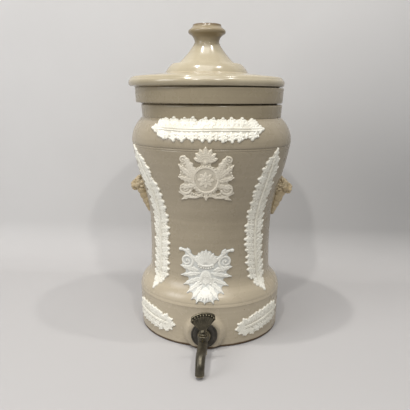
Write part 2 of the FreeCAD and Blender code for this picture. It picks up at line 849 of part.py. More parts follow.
def buildOrnament():
    outer = wallEnvelope("reliefOuter", size("reliefHeight"))
    inner = wallEnvelope("reliefInner", size("slipGap"))
    shell = cut("reliefShell", outer, inner)
    # Leaves along each strip, with the share of it that each end tapers over
    topLeaves = {"leaves": 12, "startTaper": 0.16, "endTaper": 0.16}
    sideLeaves = {"leaves": 15, "startTaper": 0.14, "endTaper": 0.3}
    sprayLeaves = {"leaves": 8, "startTaper": 0.3, "endTaper": 0.15}
    # Lobes round each panel, and how far it narrows to its foot
    upperLobes = {"lobes": 14, "footShare": 0.1}
    lowerLobes = {"lobes": 14, "footShare": 0.6}
    topLine = leafyStrip(size("topGarlandLength").value, size("topGarlandWidth").value, **topLeaves)
    sideLength = size("sideGarlandLength").value
    sideLine = leafyStrip(sideLength, size("sideGarlandWidth").value, **sideLeaves)
    leftLine = leaning(sideLine, sideLength, -size("leftGarlandHeadLean").value,
                       -size("leftGarlandFootLean").value)
    rightLine = leaning(sideLine, sideLength, size("rightGarlandHeadLean").value,
                        size("rightGarlandFootLean").value)
    upper = lobedOval(size("upperPanelWidth").value, size("upperPanelLength").value, **upperLobes)
    lower = lobedOval(size("lowerPanelWidth").value, size("lowerPanelLength").value, **lowerLobes)
    spray = leafyStrip(size("sprayLength").value, size("sprayWidth").value, **sprayLeaves)
    sideTurn = size("sideGarlandAngle").value
    sprayTurn = size("sprayAngle").value
    sprayTilt = size("sprayTiltAngle").value
    topCentre = bellyHeight + size("topGarlandRise")
    sideCentre = ledgeHeight + size("sideGarlandRise")
    upperTop = topCentre - size("topGarlandWidth") / 2 - size("upperPanelGap")
    upperCentre = upperTop - size("upperPanelLength") / 2
    lowerCentre = ledgeHeight + size("lowerPanelRise")
    sprayCentre = size("sprayHeight")
    rows = [
        ("garland_top", swapped(topLine), 0, topCentre, 0),
        ("garland_left", leftLine, -sideTurn, sideCentre, 0),
        ("garland_right", rightLine, sideTurn, sideCentre, 0),
        ("panel_upper", upper, 0, upperCentre, 0),
        ("panel_lower", lower, 0, lowerCentre, 0),
        ("leaf_spray_left", swapped(spray), -sprayTurn, sprayCentre, 180 - sprayTilt),
        ("leaf_spray_right", swapped(spray), sprayTurn, sprayCentre, sprayTilt),
    ]
    pieces = {}
    for node, points, turn, height, tilt in rows:
        blank = reliefBlank(node, points, turn, height.value, tilt)
        pieces[node] = common(node, shell, blank)
    return pieces, inner


# A small lion's head whose neck runs down into the wall
def buildLug(node, side, envelope):
    headReach = size("lugHeadStandOff") + wallRadiusAt(size("lugHeight").value)
    tailReach = headReach - size("lugTailSink")
    head = ellipsoid(node + "Head", size("lugHeadRadius"), size("lugHeadRadius"))
    place(head, x=headReach * side, z=size("lugHeight"))
    muzzle = ellipsoid(node + "Muzzle", size("lugMuzzleRadius") * size("lugMuzzleShare"),
                       size("lugMuzzleRadius"))
    place(muzzle, x=(headReach + size("lugMuzzleReach")) * side,
          z=size("lugHeight") - size("lugMuzzleDrop"))
    tail = cone(node + "Tail", size("lugTailRadius") * size("lugTailTipShare"),
                size("lugTailRadius") * size("lugTailRootShare"), size("lugTailLength"))
    lean = math.degrees(math.atan2(size("lugTailSink").value, size("lugTailLength").value))
    place(tail, x=tailReach * side, z=size("lugHeight") - size("lugTailLength"),
          rotation=Rotation(Vector(0, 1, 0), lean * side))
    return cut(node, fused(node + "Blank", [head, muzzle, tail]), envelope)


def checkObjects(pieces):
    document.recompute()
    for item in document.Objects:
        bad = [state for state in item.State if state in ("Invalid", "Error")]
        if bad:
            raise RuntimeError("%s did not build" % item.Name)
    for node, piece in pieces.items():
        shape = piece.Shape
        if shape.isNull() or not shape.isValid() or not shape.Solids:
            raise RuntimeError("%s has no valid solid" % node)
        piece.Label = node
        print("%s: %d solid, %.0f mm3" % (node, len(shape.Solids), shape.Volume))


def main():
    pieces = buildJar()
    pieces["filter_pot"] = buildPot()
    pieces["carbon_block"] = buildCarbon()
    pieces["strainer_plate"] = buildPlate()
    pieces["lid"] = buildLid()
    pieces.update(buildFastening())
    pieces["tap_body"] = buildTapBody()
    pieces.update(buildPlug())
    ornament, envelope = buildOrnament()
    pieces.update(ornament)
    pieces["lug_left"] = buildLug("lug_left", -1, envelope)
    pieces["lug_right"] = buildLug("lug_right", 1, envelope)
    checkObjects(pieces)
    os.makedirs("parts", exist_ok=True)
    for node, piece in pieces.items():
        piece.Shape.exportStep("parts/%s.step" % node)


main()
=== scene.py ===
import math
import random

import bpy
import numpy
from mathutils import Matrix, Vector


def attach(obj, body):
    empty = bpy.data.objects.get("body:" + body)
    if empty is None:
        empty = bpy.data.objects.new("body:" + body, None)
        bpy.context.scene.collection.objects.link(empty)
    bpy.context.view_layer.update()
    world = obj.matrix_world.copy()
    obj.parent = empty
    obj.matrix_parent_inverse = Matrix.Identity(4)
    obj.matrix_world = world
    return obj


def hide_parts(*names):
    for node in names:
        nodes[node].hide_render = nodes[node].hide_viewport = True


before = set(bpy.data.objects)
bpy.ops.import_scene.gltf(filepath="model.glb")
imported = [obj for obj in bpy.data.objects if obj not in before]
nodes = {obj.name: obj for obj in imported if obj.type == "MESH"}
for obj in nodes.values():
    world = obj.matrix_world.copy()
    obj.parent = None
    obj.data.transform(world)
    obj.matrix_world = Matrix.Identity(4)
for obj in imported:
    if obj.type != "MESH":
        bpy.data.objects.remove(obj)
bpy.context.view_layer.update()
mm = 0.001
turnSteps = 240
print("frame loaded,", len(nodes), "nodes")


# ---- handling pieces ----

def selectOnly(piece):
    bpy.ops.object.select_all(action="DESELECT")
    piece.select_set(True)
    bpy.context.view_layer.objects.active = piece


def openEdit(piece):
    selectOnly(piece)
    bpy.ops.object.mode_set(mode="EDIT")
    bpy.ops.mesh.select_all(action="SELECT")


def closeEdit():
    bpy.ops.object.mode_set(mode="OBJECT")


def pull(across, out, up):
    bpy.ops.mesh.extrude_region_move(TRANSFORM_OT_translate={"value": (across, out, up)})


def evenNormals():
    bpy.ops.mesh.select_all(action="SELECT")
    bpy.ops.mesh.normals_make_consistent(inside=False)


def namePiece(name):
    piece = bpy.context.active_object
    piece.name = name
    piece.data.name = name
    return piece


def newPiece(name, kind, **values):
    bpy.ops.object.select_all(action="DESELECT")
    getattr(bpy.ops.mesh, "primitive_" + kind + "_add")(**values)
    return namePiece(name)


def settle(piece):
    selectOnly(piece)
    bpy.ops.object.transform_apply(location=True, rotation=True, scale=True)
    return piece


def smoothed(piece, angle=38):
    selectOnly(piece)
    bpy.ops.object.shade_smooth_by_angle(angle=math.radians(angle))
    return piece


def meshPoints(piece):
    flat = numpy.zeros(len(piece.data.vertices) * 3)
    piece.data.vertices.foreach_get("co", flat)
    return flat.reshape(-1, 3)


def putPoints(piece, points):
    piece.data.vertices.foreach_set("co", numpy.asarray(points).ravel())
    piece.data.update()


def applyModifier(piece, kind, **values):
    selectOnly(piece)
    bpy.ops.object.modifier_add(type=kind)
    change = piece.modifiers[-1]
    for name, value in values.items():
        setattr(change, name, value)
    bpy.ops.object.modifier_apply(modifier=change.name)


def carve(piece, cutter, operation="DIFFERENCE"):
    applyModifier(piece, "BOOLEAN", operation=operation, object=cutter, solver="EXACT")
    bpy.data.objects.remove(cutter)


def joined(pieces, name):
    bpy.ops.object.select_all(action="DESELECT")
    for piece in pieces:
        piece.select_set(True)
    bpy.context.view_layer.objects.active = pieces[0]
    bpy.ops.object.join()
    return namePiece(name)


# ---- outlines for turned work, in millimetres ----

def arcThrough(start, via, end, spacing):
    # points on the arc after start, up to end
    ax, ay = start
    bx, by = via
    cx, cy = end
    across = 2 * (ax * (by - cy) + bx * (cy - ay) + cx * (ay - by))
    squares = [x * x + y * y for x, y in (start, via, end)]
    centreX = (squares[0] * (by - cy) + squares[1] * (cy - ay) + squares[2] * (ay - by)) / across
    centreY = (squares[0] * (cx - bx) + squares[1] * (ax - cx) + squares[2] * (bx - ax)) / across
    radius = math.hypot(ax - centreX, ay - centreY)
    angles = [math.atan2(y - centreY, x - centreX) for x, y in (start, via, end)]
    sweep = (angles[2] - angles[0]) % (2 * math.pi)
    if (angles[1] - angles[0]) % (2 * math.pi) > sweep:
        sweep -= 2 * math.pi
    count = max(4, math.ceil(abs(sweep) * radius / spacing))
    turns = [angles[0] + sweep * (step + 1) / count for step in range(count)]
    return [(centreX + radius * math.cos(turn), centreY + radius * math.sin(turn)) for turn in turns]


def tracedLine(steps, spacing=1.5):
    # each step after the start is a corner, or a corner and the point its arc passes through
    line = [steps[0]]
    for step in steps[1:]:
        if len(step) == 4:
            line += arcThrough(line[-1], step[2:], step[:2], spacing)
        else:
            line.append(step)
    return line


def easedCorners(line, reach, sharpest=14):
    # rounds each corner that turns by more than a few degrees
    eased = [line[0]]
    for before, corner, after in zip(line, line[1:], line[2:]):
        here = Vector(corner)
        back = Vector(before) - here
        ahead = Vector(after) - here
        if min(back.length, ahead.length) < 1e-6 or 180 - math.degrees(back.angle(ahead)) < sharpest:
            eased.append(corner)
            continue
        start = here + back.normalized() * min(reach, back.length * 0.45)
        end = here + ahead.normalized() * min(reach, ahead.length * 0.45)
        for share in (0, 0.25, 0.5, 0.75, 1):
            spot = start * (1 - share) ** 2 + here * 2 * share * (1 - share) + end * share ** 2
            eased.append((spot.x, spot.y))
    return eased + [line[-1]]


def splitRuns(line, spacing):
    # adds points along the long straight stretches
    split = [line[0]]
    for before, after in zip(line, line[1:]):
        count = max(1, math.ceil(math.dist(before, after) / spacing))
        for step in range(1, count + 1):
            share = step / count
            split.append(tuple(low + (high - low) * share for low, high in zip(before, after)))
    return split


def turnedPiece(name, line, centre=(0, 0, 0), axis="Z", steps=turnSteps):
    # line is radius and height (or, about Y, distance to the front)
    piece = newPiece(name, "plane", size=0.01, location=(0, 0, 0))
    openEdit(piece)
    bpy.ops.mesh.select_mode(type="VERT")
    bpy.ops.mesh.select_all(action="SELECT")
    bpy.ops.mesh.merge(type="CENTER")
    offset = Vector(centre)
    if axis == "Z":
        places = [(offset + Vector((radius, 0, height))) * mm for radius, height in line]
    else:
        places = [(offset + Vector((radius, -height, 0))) * mm for radius, height in line]
    bpy.ops.transform.translate(value=places[0])
    for before, after in zip(places, places[1:]):
        bpy.ops.mesh.extrude_vertices_move(TRANSFORM_OT_translate={"value": after - before})
    bpy.ops.mesh.select_all(action="SELECT")
    direction = (0, 0, 1) if axis == "Z" else (0, 1, 0)
    bpy.ops.mesh.spin(steps=steps, angle=2 * math.pi, center=offset * mm, axis=direction)
    bpy.ops.mesh.select_all(action="SELECT")
    bpy.ops.mesh.remove_doubles(threshold=2e-6)
    evenNormals()
    closeEdit()
    return piece


def rod(name, radius, start, end, steps=48):
    # a plain cutter from one place to another
    middle = (Vector(start) + Vector(end)) / 2 * mm
    run = (Vector(end) - Vector(start)) * mm
    turn = run.to_track_quat("Z", "Y").to_euler()
    return settle(newPiece(name, "cylinder", vertices=steps, radius=radius * mm, depth=run.length,
                           location=middle, rotation=turn))


# ---- the jar's outside line, shared by the jar and all that lies on it ----

jarLine = {
    "steps": [
        (97.1, 2.5), (98.6, 55), (91.5, 71.5, 97.2, 63.25), (83.8, 92, 84.9, 81.75),
        (84.9, 164, 83.4, 126), (96.6, 210.55, 89.77, 187.28), (107.9, 259, 103.0, 234.8),
        (93.2, 291, 105.0, 275), (94.6, 305.5),
    ],
    "wall": 9,
    "spacing": 0.8,
}
wallTrace = splitRuns(tracedLine(jarLine["steps"], jarLine["spacing"]), jarLine["spacing"])
wallTrace = numpy.array(wallTrace)


def wallRadius(height):
    return numpy.interp(height, wallTrace[:, 1], wallTrace[:, 0])


def smoothStep(value):
    share = numpy.clip(value, 0, 1)
    return share * share * (3 - 2 * share)


# ---- stoneware jar ----

jarShape = {
    "footTop": 2.5,
    "lipFoot": 305.5,
    "rowSpacing": 1.9,
    "rowGap": 0.15,
    "edgeRows": [55, 71.5, 92, 259, 291, 305.5],
    # place, depth and width of each soft groove, or of a bead where the depth is below zero
    "grooves": [(256.6, 0.7, 0.5), (253.9, 0.35, 0.4), (291.4, 0.3, 0.5), (58.8, 0.22, 0.8),
                (55.4, -0.3, 1.1)],
    "grooveRows": (-2, -1.2, -0.6, 0, 0.6, 1.2, 2),
    "under": [(0, 0), (30, 0), (60, 0), (82, 0), (90, 0)],
    "footRound": [(94.6, 0), (97.1, 2.5, 96.37, 0.73)],
    "lip": [(94.6, 305.5), (92.1, 308, 93.87, 307.27)],
    "mouth": [(86.6, 308), (85.6, 307, 85.9, 307.7), (84.4, 292)],
    "insideTop": 288,
    "insideFoot": 20,
    "insideStep": 3.2,
    "floor": [(89.6, 14.5), (82.6, 7.5, 87.55, 9.55), (60, 7.5), (30, 7.5), (0, 7.5)],
    "tapHeight": 21,
    "bossFace": 101.6,
    "bossTopRadius": 21.5,
    "bossFootRadius": 27.5,
    # the disc is pushed out of the wall beyond this radius and below this height
    "bossFrom": 91,
    "bossBelow": 60,
    "tapHole": 7.2,
    "tapHoleRun": (-60, -115),
    "nutSeat": 13.2,
    "nutSeatRun": (-60, -89.6),
}


def makeJar():
    shape = jarShape
    rows = list(numpy.arange(shape["footTop"], shape["lipFoot"], shape["rowSpacing"])) + shape["edgeRows"]
    for spot, depth, width in shape["grooves"]:
        rows += [spot + width * share for share in shape["grooveRows"]]
    kept = []
    for height in sorted(rows):
        if not kept or height - kept[-1] > shape["rowGap"]:
            kept.append(height)
    outside = []
    for height in kept:
        radius = float(wallRadius(height))
        for spot, depth, width in shape["grooves"]:
            radius -= depth * math.exp(-((height - spot) / width) ** 2)
        outside.append((radius, height))
    down = numpy.arange(shape["insideTop"], shape["insideFoot"], -shape["insideStep"])
    inside = [(float(wallRadius(height)) - jarLine["wall"], height) for height in down]
    line = shape["under"] + tracedLine(shape["footRound"], 0.6)[:-1] + outside
    line += tracedLine(shape["lip"], 0.5)[1:] + tracedLine(shape["mouth"], 0.4)
    line += inside + tracedLine(shape["floor"], 1.5)
    jar = turnedPiece("jarBody", line)
    points = meshPoints(jar) / mm
    x, y, z = points.T
    # the clay swells into a soft disc round the tap
    reach = numpy.hypot(x, z - shape["tapHeight"])
    slope = shape["bossFootRadius"] - shape["bossTopRadius"]
    blend = smoothStep((shape["bossFootRadius"] - reach) / slope)
    front = (numpy.hypot(x, y) > shape["bossFrom"]) & (y < 0) & (z < shape["bossBelow"])
    pushed = y - blend * (y + shape["bossFace"])
    points[:, 1] = numpy.where(front, numpy.minimum(y, pushed), y)
    putPoints(jar, points * mm)
    for cut in ("tapHole", "nutSeat"):
        inner, outer = [(0, y, shape["tapHeight"]) for y in shape[cut + "Run"]]
        carve(jar, rod(cut + "Cutter", shape[cut], inner, outer))
    return smoothed(jar, 40)


# ---- filter pot and what lies in it ----

potShape = {
    "shift": -3.5,
    "line": [(0, 196), (30, 196), (60, 196), (72.5, 196), (78.5, 308), (90.6, 308), (92.6, 309.5),
             (98.3, 309.5), (99.5, 329), (70.5, 329), (70.5, 308), (64.5, 204), (30, 204), (0, 204)],
    "ease": 1.4,
    "spacing": 6,
    "steps": turnSteps,
    # radius, ring, count, low, high, and one in the middle
    "holes": (4, 36, 6, 190, 210, True),
}
strainerShape = {
    "shift": -3.5,
    "line": [(0, 244), (30, 244), (62.5, 244), (62.5, 251), (30, 251), (11, 251), (6.6, 255.8),
             (11, 259.4), (7.7, 263), (0, 263)],
    "ease": 1.6,
    "spacing": 4,
    "steps": 144,
    "holes": (3, 42, 8, 240, 254, False),
}


def drillHoles(piece, shift, radius, ring, count, low, high, middle):
    turns = [2 * math.pi * index / count for index in range(count)]
    places = [(shift + ring * math.cos(turn), ring * math.sin(turn)) for turn in turns]
    if middle:
        places.append((shift, 0))
    cutters = [rod("holeCutter", radius, (x, y, low), (x, y, high), 32) for x, y in places]
    carve(piece, joined(cutters, "holeCutters"))


def makePierced(name, shape):
    line = splitRuns(easedCorners(shape["line"], shape["ease"]), shape["spacing"])
    piece = turnedPiece(name, line, centre=(shape["shift"], 0, 0), steps=shape["steps"])
    drillHoles(piece, shape["shift"], *shape["holes"])
    return smoothed(piece, 40)


# ---- lid ----

lidShape = {
    "seat": 329,
    "shift": -7.3,
    "ease": 0.9,
    "sharpest": 9,
    "line": [
        (0, 24), (31.2, 24), (38.6, 19), (59.7, 12), (59.7, -8), (65.7, -8), (65.7, 0), (96.0, 0),
        (98.3, 1.5), (102.1, 1.5), (102.1, 10.22, 104.1, 5.32), (96.5, 14, 99.97, 12.88),
        (58.6, 18.2), (55.2, 19), (45.6, 31, 51.36, 25.36), (38.2, 31),
        (17.4, 55.5, 27.74, 41.44), (17.5, 56.4), (16.4, 57.2), (16.4, 60), (23.7, 69, 18.5, 64.87),
        (23.7, 74.2, 24.8, 71.6), (19.4, 77.4), (18.6, 80.6), (17.9, 81), (10, 81), (0, 81),
    ],
}


def makeLid():
    line = easedCorners(tracedLine(lidShape["line"], 1.0), lidShape["ease"], lidShape["sharpest"])
    centre = (lidShape["shift"], 0, lidShape["seat"])
    return smoothed(turnedPiece("lidBody", splitRuns(line, 4), centre=centre), 45)


# ---- raised ornament: a sheet of clay shaped by small strokes, then laid on the wall ----

reliefShape = {
    "spacing": 0.42,
    "sunk": 0.8,
    "fall": 0.7,
    "edge": 0.8,
    # power of a leaf's outline, depth of its notches, height at its edge and at its foot
    "taper": 0.8,
    "notch": 0.3,
    "edgeCrown": 0.5,
    "footCrown": 0.82,
    # half width and depth of the middle vein, pitch and slant of the side veins
    "vein": 0.42,
    "veinDepth": 0.19,
    "veinPitch": 2.25,
    "veinSlant": 1.6,
    "backing": 1.0,
    "tallest": 2.35,
    "laidAbove": 0.2,
    "lift": 0.05,
    "fill": (1.3, 0.9),
    # share along, share aside and size of each round lobe of a leaf
    "lobes": ((0.87, 0, 0.23), (0.68, 0.34, 0.2), (0.68, -0.34, 0.2), (0.42, 0.36, 0.19),
              (0.42, -0.36, 0.19)),
}


def swollen(gap, half):
    return numpy.sqrt(numpy.clip(1 - (gap / half) ** 2, 0, 1))


def grown(marked, steps):
    # widens the marked part of a grid, a ring of cells at a time
    for step in range(steps):
        wide = marked.copy()
        wide[1:] |= marked[:-1]
        wide[:-1] |= marked[1:]
        if step % 2:
            marked = wide.copy()
        wide[:, 1:] |= marked[:, :-1]
        wide[:, :-1] |= marked[:, 1:]
        marked = wide
    return marked


class ReliefSheet:
    def __init__(self, name, width, length):
        self.length = length
        self.columns = round(width / reliefShape["spacing"])
        self.rows = round(length / reliefShape["spacing"])
        self.piece = newPiece(name, "grid", x_subdivisions=self.columns, y_subdivisions=self.rows, size=1)
        openEdit(self.piece)
        bpy.ops.transform.resize(value=(width, length, 1))
        closeEdit()
        points = meshPoints(self.piece)
        self.across = points[:, 0].copy()
        self.up = points[:, 1].copy()
        self.rise = numpy.full(self.across.shape, -reliefShape["sunk"])

    def near(self, x, y, reach):
        # only the points a stroke can touch, and where they lie from its start
        spots = (numpy.abs(self.across - x) < reach) & (numpy.abs(self.up - y) < reach)
        return spots, self.across[spots] - x, self.up[spots] - y

    def lay(self, spots, depth, height):
        # clay where the depth inside the outline is above zero, and a short fall round it
        outside = -reliefShape["sunk"] * numpy.clip(-depth / reliefShape["fall"], 0, 1)
        self.rise[spots] = numpy.maximum(self.rise[spots], numpy.where(depth > 0, height, outside))

    def leaf(self, x, y, heading, length, width, rise=2.0, lobes=0, blunt=0.75, veins=0.1):
        shape = reliefShape
        spots, dx, dy = self.near(x, y, length + width)
        turn = math.radians(heading)
        along = (dx * math.sin(turn) + dy * math.cos(turn)) / length
        aside = dx * math.cos(turn) - dy * math.sin(turn)
        share = numpy.clip(along, 0, 1)
        half = width / 2 * numpy.sin(math.pi * share ** blunt) ** shape["taper"]
        if lobes:
            half *= 1 - shape["notch"] * numpy.abs(numpy.sin(math.pi * lobes * share)) ** 1.5
        beyond = numpy.maximum(numpy.maximum(-along, along - 1), 0) * length
        depth = half - numpy.abs(aside) - beyond
        body = numpy.clip(depth / shape["edge"], 0, 1)
        body = body * (2 - body)
        swell = numpy.clip(1 - (aside / numpy.maximum(half, 0.1)) ** 2, 0, 1)
        crown = shape["edgeCrown"] + (1 - shape["edgeCrown"]) * swell
        height = rise * body * crown * (shape["footCrown"] + (1 - shape["footCrown"]) * share)
        height -= shape["veinDepth"] * rise * numpy.exp(-(aside / shape["vein"]) ** 2) * body
        waves = shape["veinPitch"] * share * length + shape["veinSlant"] * numpy.abs(aside)
        height += veins * numpy.sin(waves) * body
        self.lay(spots, depth, height)

    def lobedLeaf(self, x, y, heading, length, width, rise=2.2):
        # a leaf with a blunt tip and two pairs of round lobes
        self.leaf(x, y, heading, length, width * 0.8, rise, blunt=1.2)
        turn = math.radians(heading)
        for share, aside, size in reliefShape["lobes"]:
            spotX = x + length * share * math.sin(turn) + width * aside * math.cos(turn)
            spotY = y + length * share * math.cos(turn) - width * aside * math.sin(turn)
            self.dome(spotX, spotY, width * size, rise * 0.96)

    def dome(self, x, y, radius, rise=1.8, stretch=1.0, flat=0.0):
        spots, dx, dy = self.near(x, y, radius * max(stretch, 1) + 1.5)
        gap = numpy.hypot(dx, dy / stretch)
        height = rise * numpy.minimum(swollen(gap, radius), 1 - flat) / (1 - flat)
        self.lay(spots, radius - gap, height)

    def ring(self, x, y, radius, half, rise=1.7, stretch=1.0):
        spots, dx, dy = self.near(x, y, (radius + half) * max(stretch, 1) + 1.5)
        gap = numpy.abs(numpy.hypot(dx, dy / stretch) - radius)
        self.lay(spots, half - gap, rise * swollen(gap, half))

    def stroke(self, line, startHalf, endHalf, rise=1.8, groove=0.0):
        widest = max(startHalf, endHalf)
        for index, (start, end) in enumerate(zip(line, line[1:])):
            run = Vector(end) - Vector(start)
            spots, dx, dy = self.near(*start, run.length + widest + 1.5)
            share = numpy.clip((dx * run.x + dy * run.y) / max(run.length_squared, 1e-9), 0, 1)
            gap = numpy.hypot(dx - run.x * share, dy - run.y * share)
            half = startHalf + (endHalf - startHalf) * (index + share) / (len(line) - 1)
            height = rise * (0.55 + 0.45 * half / widest) * swollen(gap, half)
            height -= groove * numpy.exp(-(gap / 0.45) ** 2)
            self.lay(spots, half - gap, height)

    def scroll(self, x, y, radius, turns, facing, heading, half=1.4, rise=1.9):
        # a coil that opens outwards and ends in a round eye
        line = []
        steps = int(22 * turns)
        for step in range(steps + 1):
            share = step / steps
            turn = math.radians(heading) + facing * share * turns * 2 * math.pi
            reach = radius * (1 - 0.82 * share)
            line.append((x + reach * math.sin(turn), y + reach * math.cos(turn)))
        self.stroke(line, half, half * 0.6, rise, 0.35)
        self.dome(x, y, half * 0.95, rise)

    def bed(self, aside, half, rise):
        # a low strip of clay under the leaves
        self.lay(slice(None), half - numpy.abs(aside), rise)

    def fillGaps(self, reach, rise):
        # a low bed of clay closes the gaps between the leaves and leaves their tips free
        steps = round(reach / reliefShape["spacing"])
        laid = (self.rise > reliefShape["laidAbove"]).reshape(self.rows + 1, self.columns + 1)
        wide = grown(numpy.pad(laid, steps + 1), steps)
        closed = ~grown(~wide, steps)[steps + 1:-steps - 1, steps + 1:-steps - 1].ravel()
        self.rise[closed] = numpy.maximum(self.rise[closed], rise)

    def wrap(self, rise, turn, height, headLean, footLean):
        # lays the sheet on the wall, and leans its head and its foot to the side
        up = self.up + height
        radius = wallRadius(up)
        slope = wallRadius(up + 0.5) - wallRadius(up - 0.5)
        part = self.up / self.length * 2
        across = self.across + numpy.where(part > 0, headLean, footLean) * part ** 2
        flat = 1 / numpy.sqrt(1 + slope ** 2)
        lifted = rise + reliefShape["lift"]
        around = numpy.arcsin(numpy.clip(across / radius, -1, 1)) + math.radians(turn)
        reach = radius + lifted * flat
        points = numpy.stack([reach * numpy.sin(around), -reach * numpy.cos(around),
                              up - lifted * flat * slope], axis=1)
        putPoints(self.piece, points * mm)

    def trim(self, hidden):
        # takes away the faces that lie under the wall
        mesh = self.piece.data
        openEdit(self.piece)
        bpy.ops.mesh.select_mode(type="FACE")
        bpy.ops.mesh.select_all(action="DESELECT")
        closeEdit()
        corners = numpy.zeros(len(mesh.loops), numpy.int32)
        mesh.loops.foreach_get("vertex_index", corners)
        corners = corners.reshape(-1, 4)
        row, column = numpy.divmod(corners.min(axis=1), self.columns + 1)
        kept = numpy.zeros((self.rows, self.columns), bool)
        kept[row, column] = ~hidden[corners].all(axis=1)
        # no two faces may meet in a corner alone
        for cells in (kept, kept[:, ::-1]) * 3:
            crossed = cells[:-1, :-1] & cells[1:, 1:] & ~cells[:-1, 1:] & ~cells[1:, :-1]
            cells[:-1, 1:] |= crossed
        mesh.polygons.foreach_set("select", ~kept[row, column])
        bpy.ops.object.mode_set(mode="EDIT")
        bpy.ops.mesh.delete(type="FACE")
        evenNormals()
        closeEdit()
        first = mesh.polygons[0]
        if first.normal.xy.dot(first.center.xy) < 0:
            openEdit(self.piece)
            bpy.ops.mesh.flip_normals()
            closeEdit()

    def finish(self, turn, height, headLean=0, footLean=0):
        piece = self.piece
        rise = numpy.minimum(self.rise, reliefShape["tallest"])
        self.wrap(rise, turn, height, headLean, footLean)
        depth = piece.data.attributes.new("depth", "FLOAT", "POINT")
        depth.data.foreach_set("value", numpy.clip(rise / reliefShape["tallest"], 0, 1))
        self.trim(rise < -reliefShape["sunk"] * 0.9)
        applyModifier(piece, "SOLIDIFY", thickness=reliefShape["backing"] * mm, offset=-1)
        return smoothed(piece, 60)


# ---- leaf garlands ----

garlandShape = {
    "topLength": 138,
    "topWidth": 31,
    "topHeight": 279.5,
    "topPairs": 10,
    "sideLength": 192,
    "sideWidth": 38.4,
    "sideHeight": 161,
    "sideTurn": 47,
    "sidePairs": 19,
    # how far the head and the foot of each side garland lean
    "sideLeans": {-1: (-33, -2), 1: (13, 11)},
    "seed": 11,
}


def makeTopGarland():
    shape = garlandShape
    chance = random.Random(shape["seed"])
    length = shape["topLength"]
    half = shape["topWidth"] / 2
    sheet = ReliefSheet("garlandTop", length, shape["topWidth"])

    def narrowed(x):
        return 1 - 0.62 * smoothStep((numpy.abs(x) - length * 0.33) / (length * 0.17))

    pitch = (length - 20) / shape["topPairs"]
    for side in (1, -1):
        for index in range(shape["topPairs"]):
            x = -length / 2 + 10 + pitch * (index + 0.5) + chance.uniform(-1.2, 1.2)
            heading = chance.uniform(-10, 10) + (5 if side > 0 else 176) - side * x * 0.12
            reach = (half - 0.4) * narrowed(x) * chance.uniform(0.9, 1.0)
            sheet.leaf(x - pitch / 2, side * 1.2, heading + chance.uniform(-14, 14),
                       reach * chance.uniform(0.74, 0.84), 4.8, 1.9, blunt=1.3)
            sheet.lobedLeaf(x, side * 0.6, heading, reach, chance.uniform(8.2, 9.6))
            sheet.dome(x + pitch / 2 + chance.uniform(-1, 1), side * half * chance.uniform(0.3, 0.55),
                       chance.uniform(1.1, 1.6), 2.15)
    for end in (1, -1):
        sheet.lobedLeaf(end * (length / 2 - 19), 0, 90 * end, 19, 9.5)
        for side in (1, -1):
            sheet.lobedLeaf(end * (length / 2 - 20), side * 1.5, (90 - 32 * side) * end, 13, 7.0, 2.0)
    inside = numpy.abs(sheet.across) < length / 2 - 8
    sheet.bed(sheet.up, (half - 6) * narrowed(sheet.across) * inside, 1.0)
    sheet.fillGaps(*reliefShape["fill"])
    wave = numpy.linspace(-length / 2 + 5, length / 2 - 5, 48)
    for shift in (1.25, -1.25):
        sheet.stroke([(x, 0.4 * math.sin(x / 14) - 0.3 + shift) for x in wave], 0.85, 0.85, 2.35)
    return sheet.finish(0, shape["topHeight"])


def makeSideGarland(side):
    shape = garlandShape
    chance = random.Random(shape["seed"] + 5 + side)
    length = shape["sideLength"]
    half = shape["sideWidth"] / 2
    sheet = ReliefSheet("garlandLeft" if side < 0 else "garlandRight", shape["sideWidth"], length)

    def narrowed(y):
        low = smoothStep((y + length / 2 + 2) / (length * 0.15))
        high = smoothStep((length / 2 + 2 - y) / (length * 0.14))
        return numpy.minimum(low, high)

    pitch = (length - 22) / shape["sidePairs"]
    # blunt leaves reach out from the stem, bolder on the side that faces the front
    for edge, boldness, lean, width in ((-side, 1.0, 80, 8.8), (side, 0.92, 60, 6.8)):
        for index in range(shape["sidePairs"]):
            y = -length / 2 + 9 + pitch * (index + 0.5) + chance.uniform(-0.9, 0.9)
            reach = max((half - 0.5) * float(narrowed(y)) * boldness, 4.5) * chance.uniform(0.9, 1.0)
            heading = (lean + chance.uniform(-9, 9)) * edge
            foot = y - reach * math.cos(math.radians(lean))
            sheet.leaf(edge * 0.8, foot + pitch / 2, heading - 6 * edge,
                       reach * chance.uniform(0.76, 0.84), 4.2, 1.9, blunt=1.3)
            sheet.lobedLeaf(edge * 0.5, foot, heading, reach / math.sin(math.radians(lean)), width)
            if index % 2:
                sheet.dome(edge * half * chance.uniform(0.25, 0.6) * float(narrowed(y)), y + pitch / 2,
                           chance.uniform(1.1, 1.7), 2.15)
    sheet.lobedLeaf(0, length / 2 - 21, 0, 21, 9.5)
    sheet.lobedLeaf(0, -length / 2 + 20, 180, 20, 9.5)
    inside = numpy.abs(sheet.up) < length / 2 - 9
    sheet.bed(sheet.across, (half - 7) * narrowed(sheet.up) * inside, 0.95)
    sheet.fillGaps(*reliefShape["fill"])
    stem = numpy.linspace(-length / 2 + 8, length / 2 - 9, 60)
    for shift in (0.9, -0.9):
        line = [(shift * (1 - 0.35 * abs(y) / length) + 0.6 * math.sin(y / 17), y) for y in stem]
        sheet.stroke(line, 0.7, 0.6, 2.2)
    return sheet.finish(side * shape["sideTurn"], shape["sideHeight"], *shape["sideLeans"][side])


# ---- leaf sprays at the foot ----

sprayShape = {
    "length": 84,
    "width": 30,
    "height": 28.6,
    "turn": 48,
    "tilts": {-1: 3.5, 1: 8.5},
    "pairs": 8,
    "seed": 23,
}


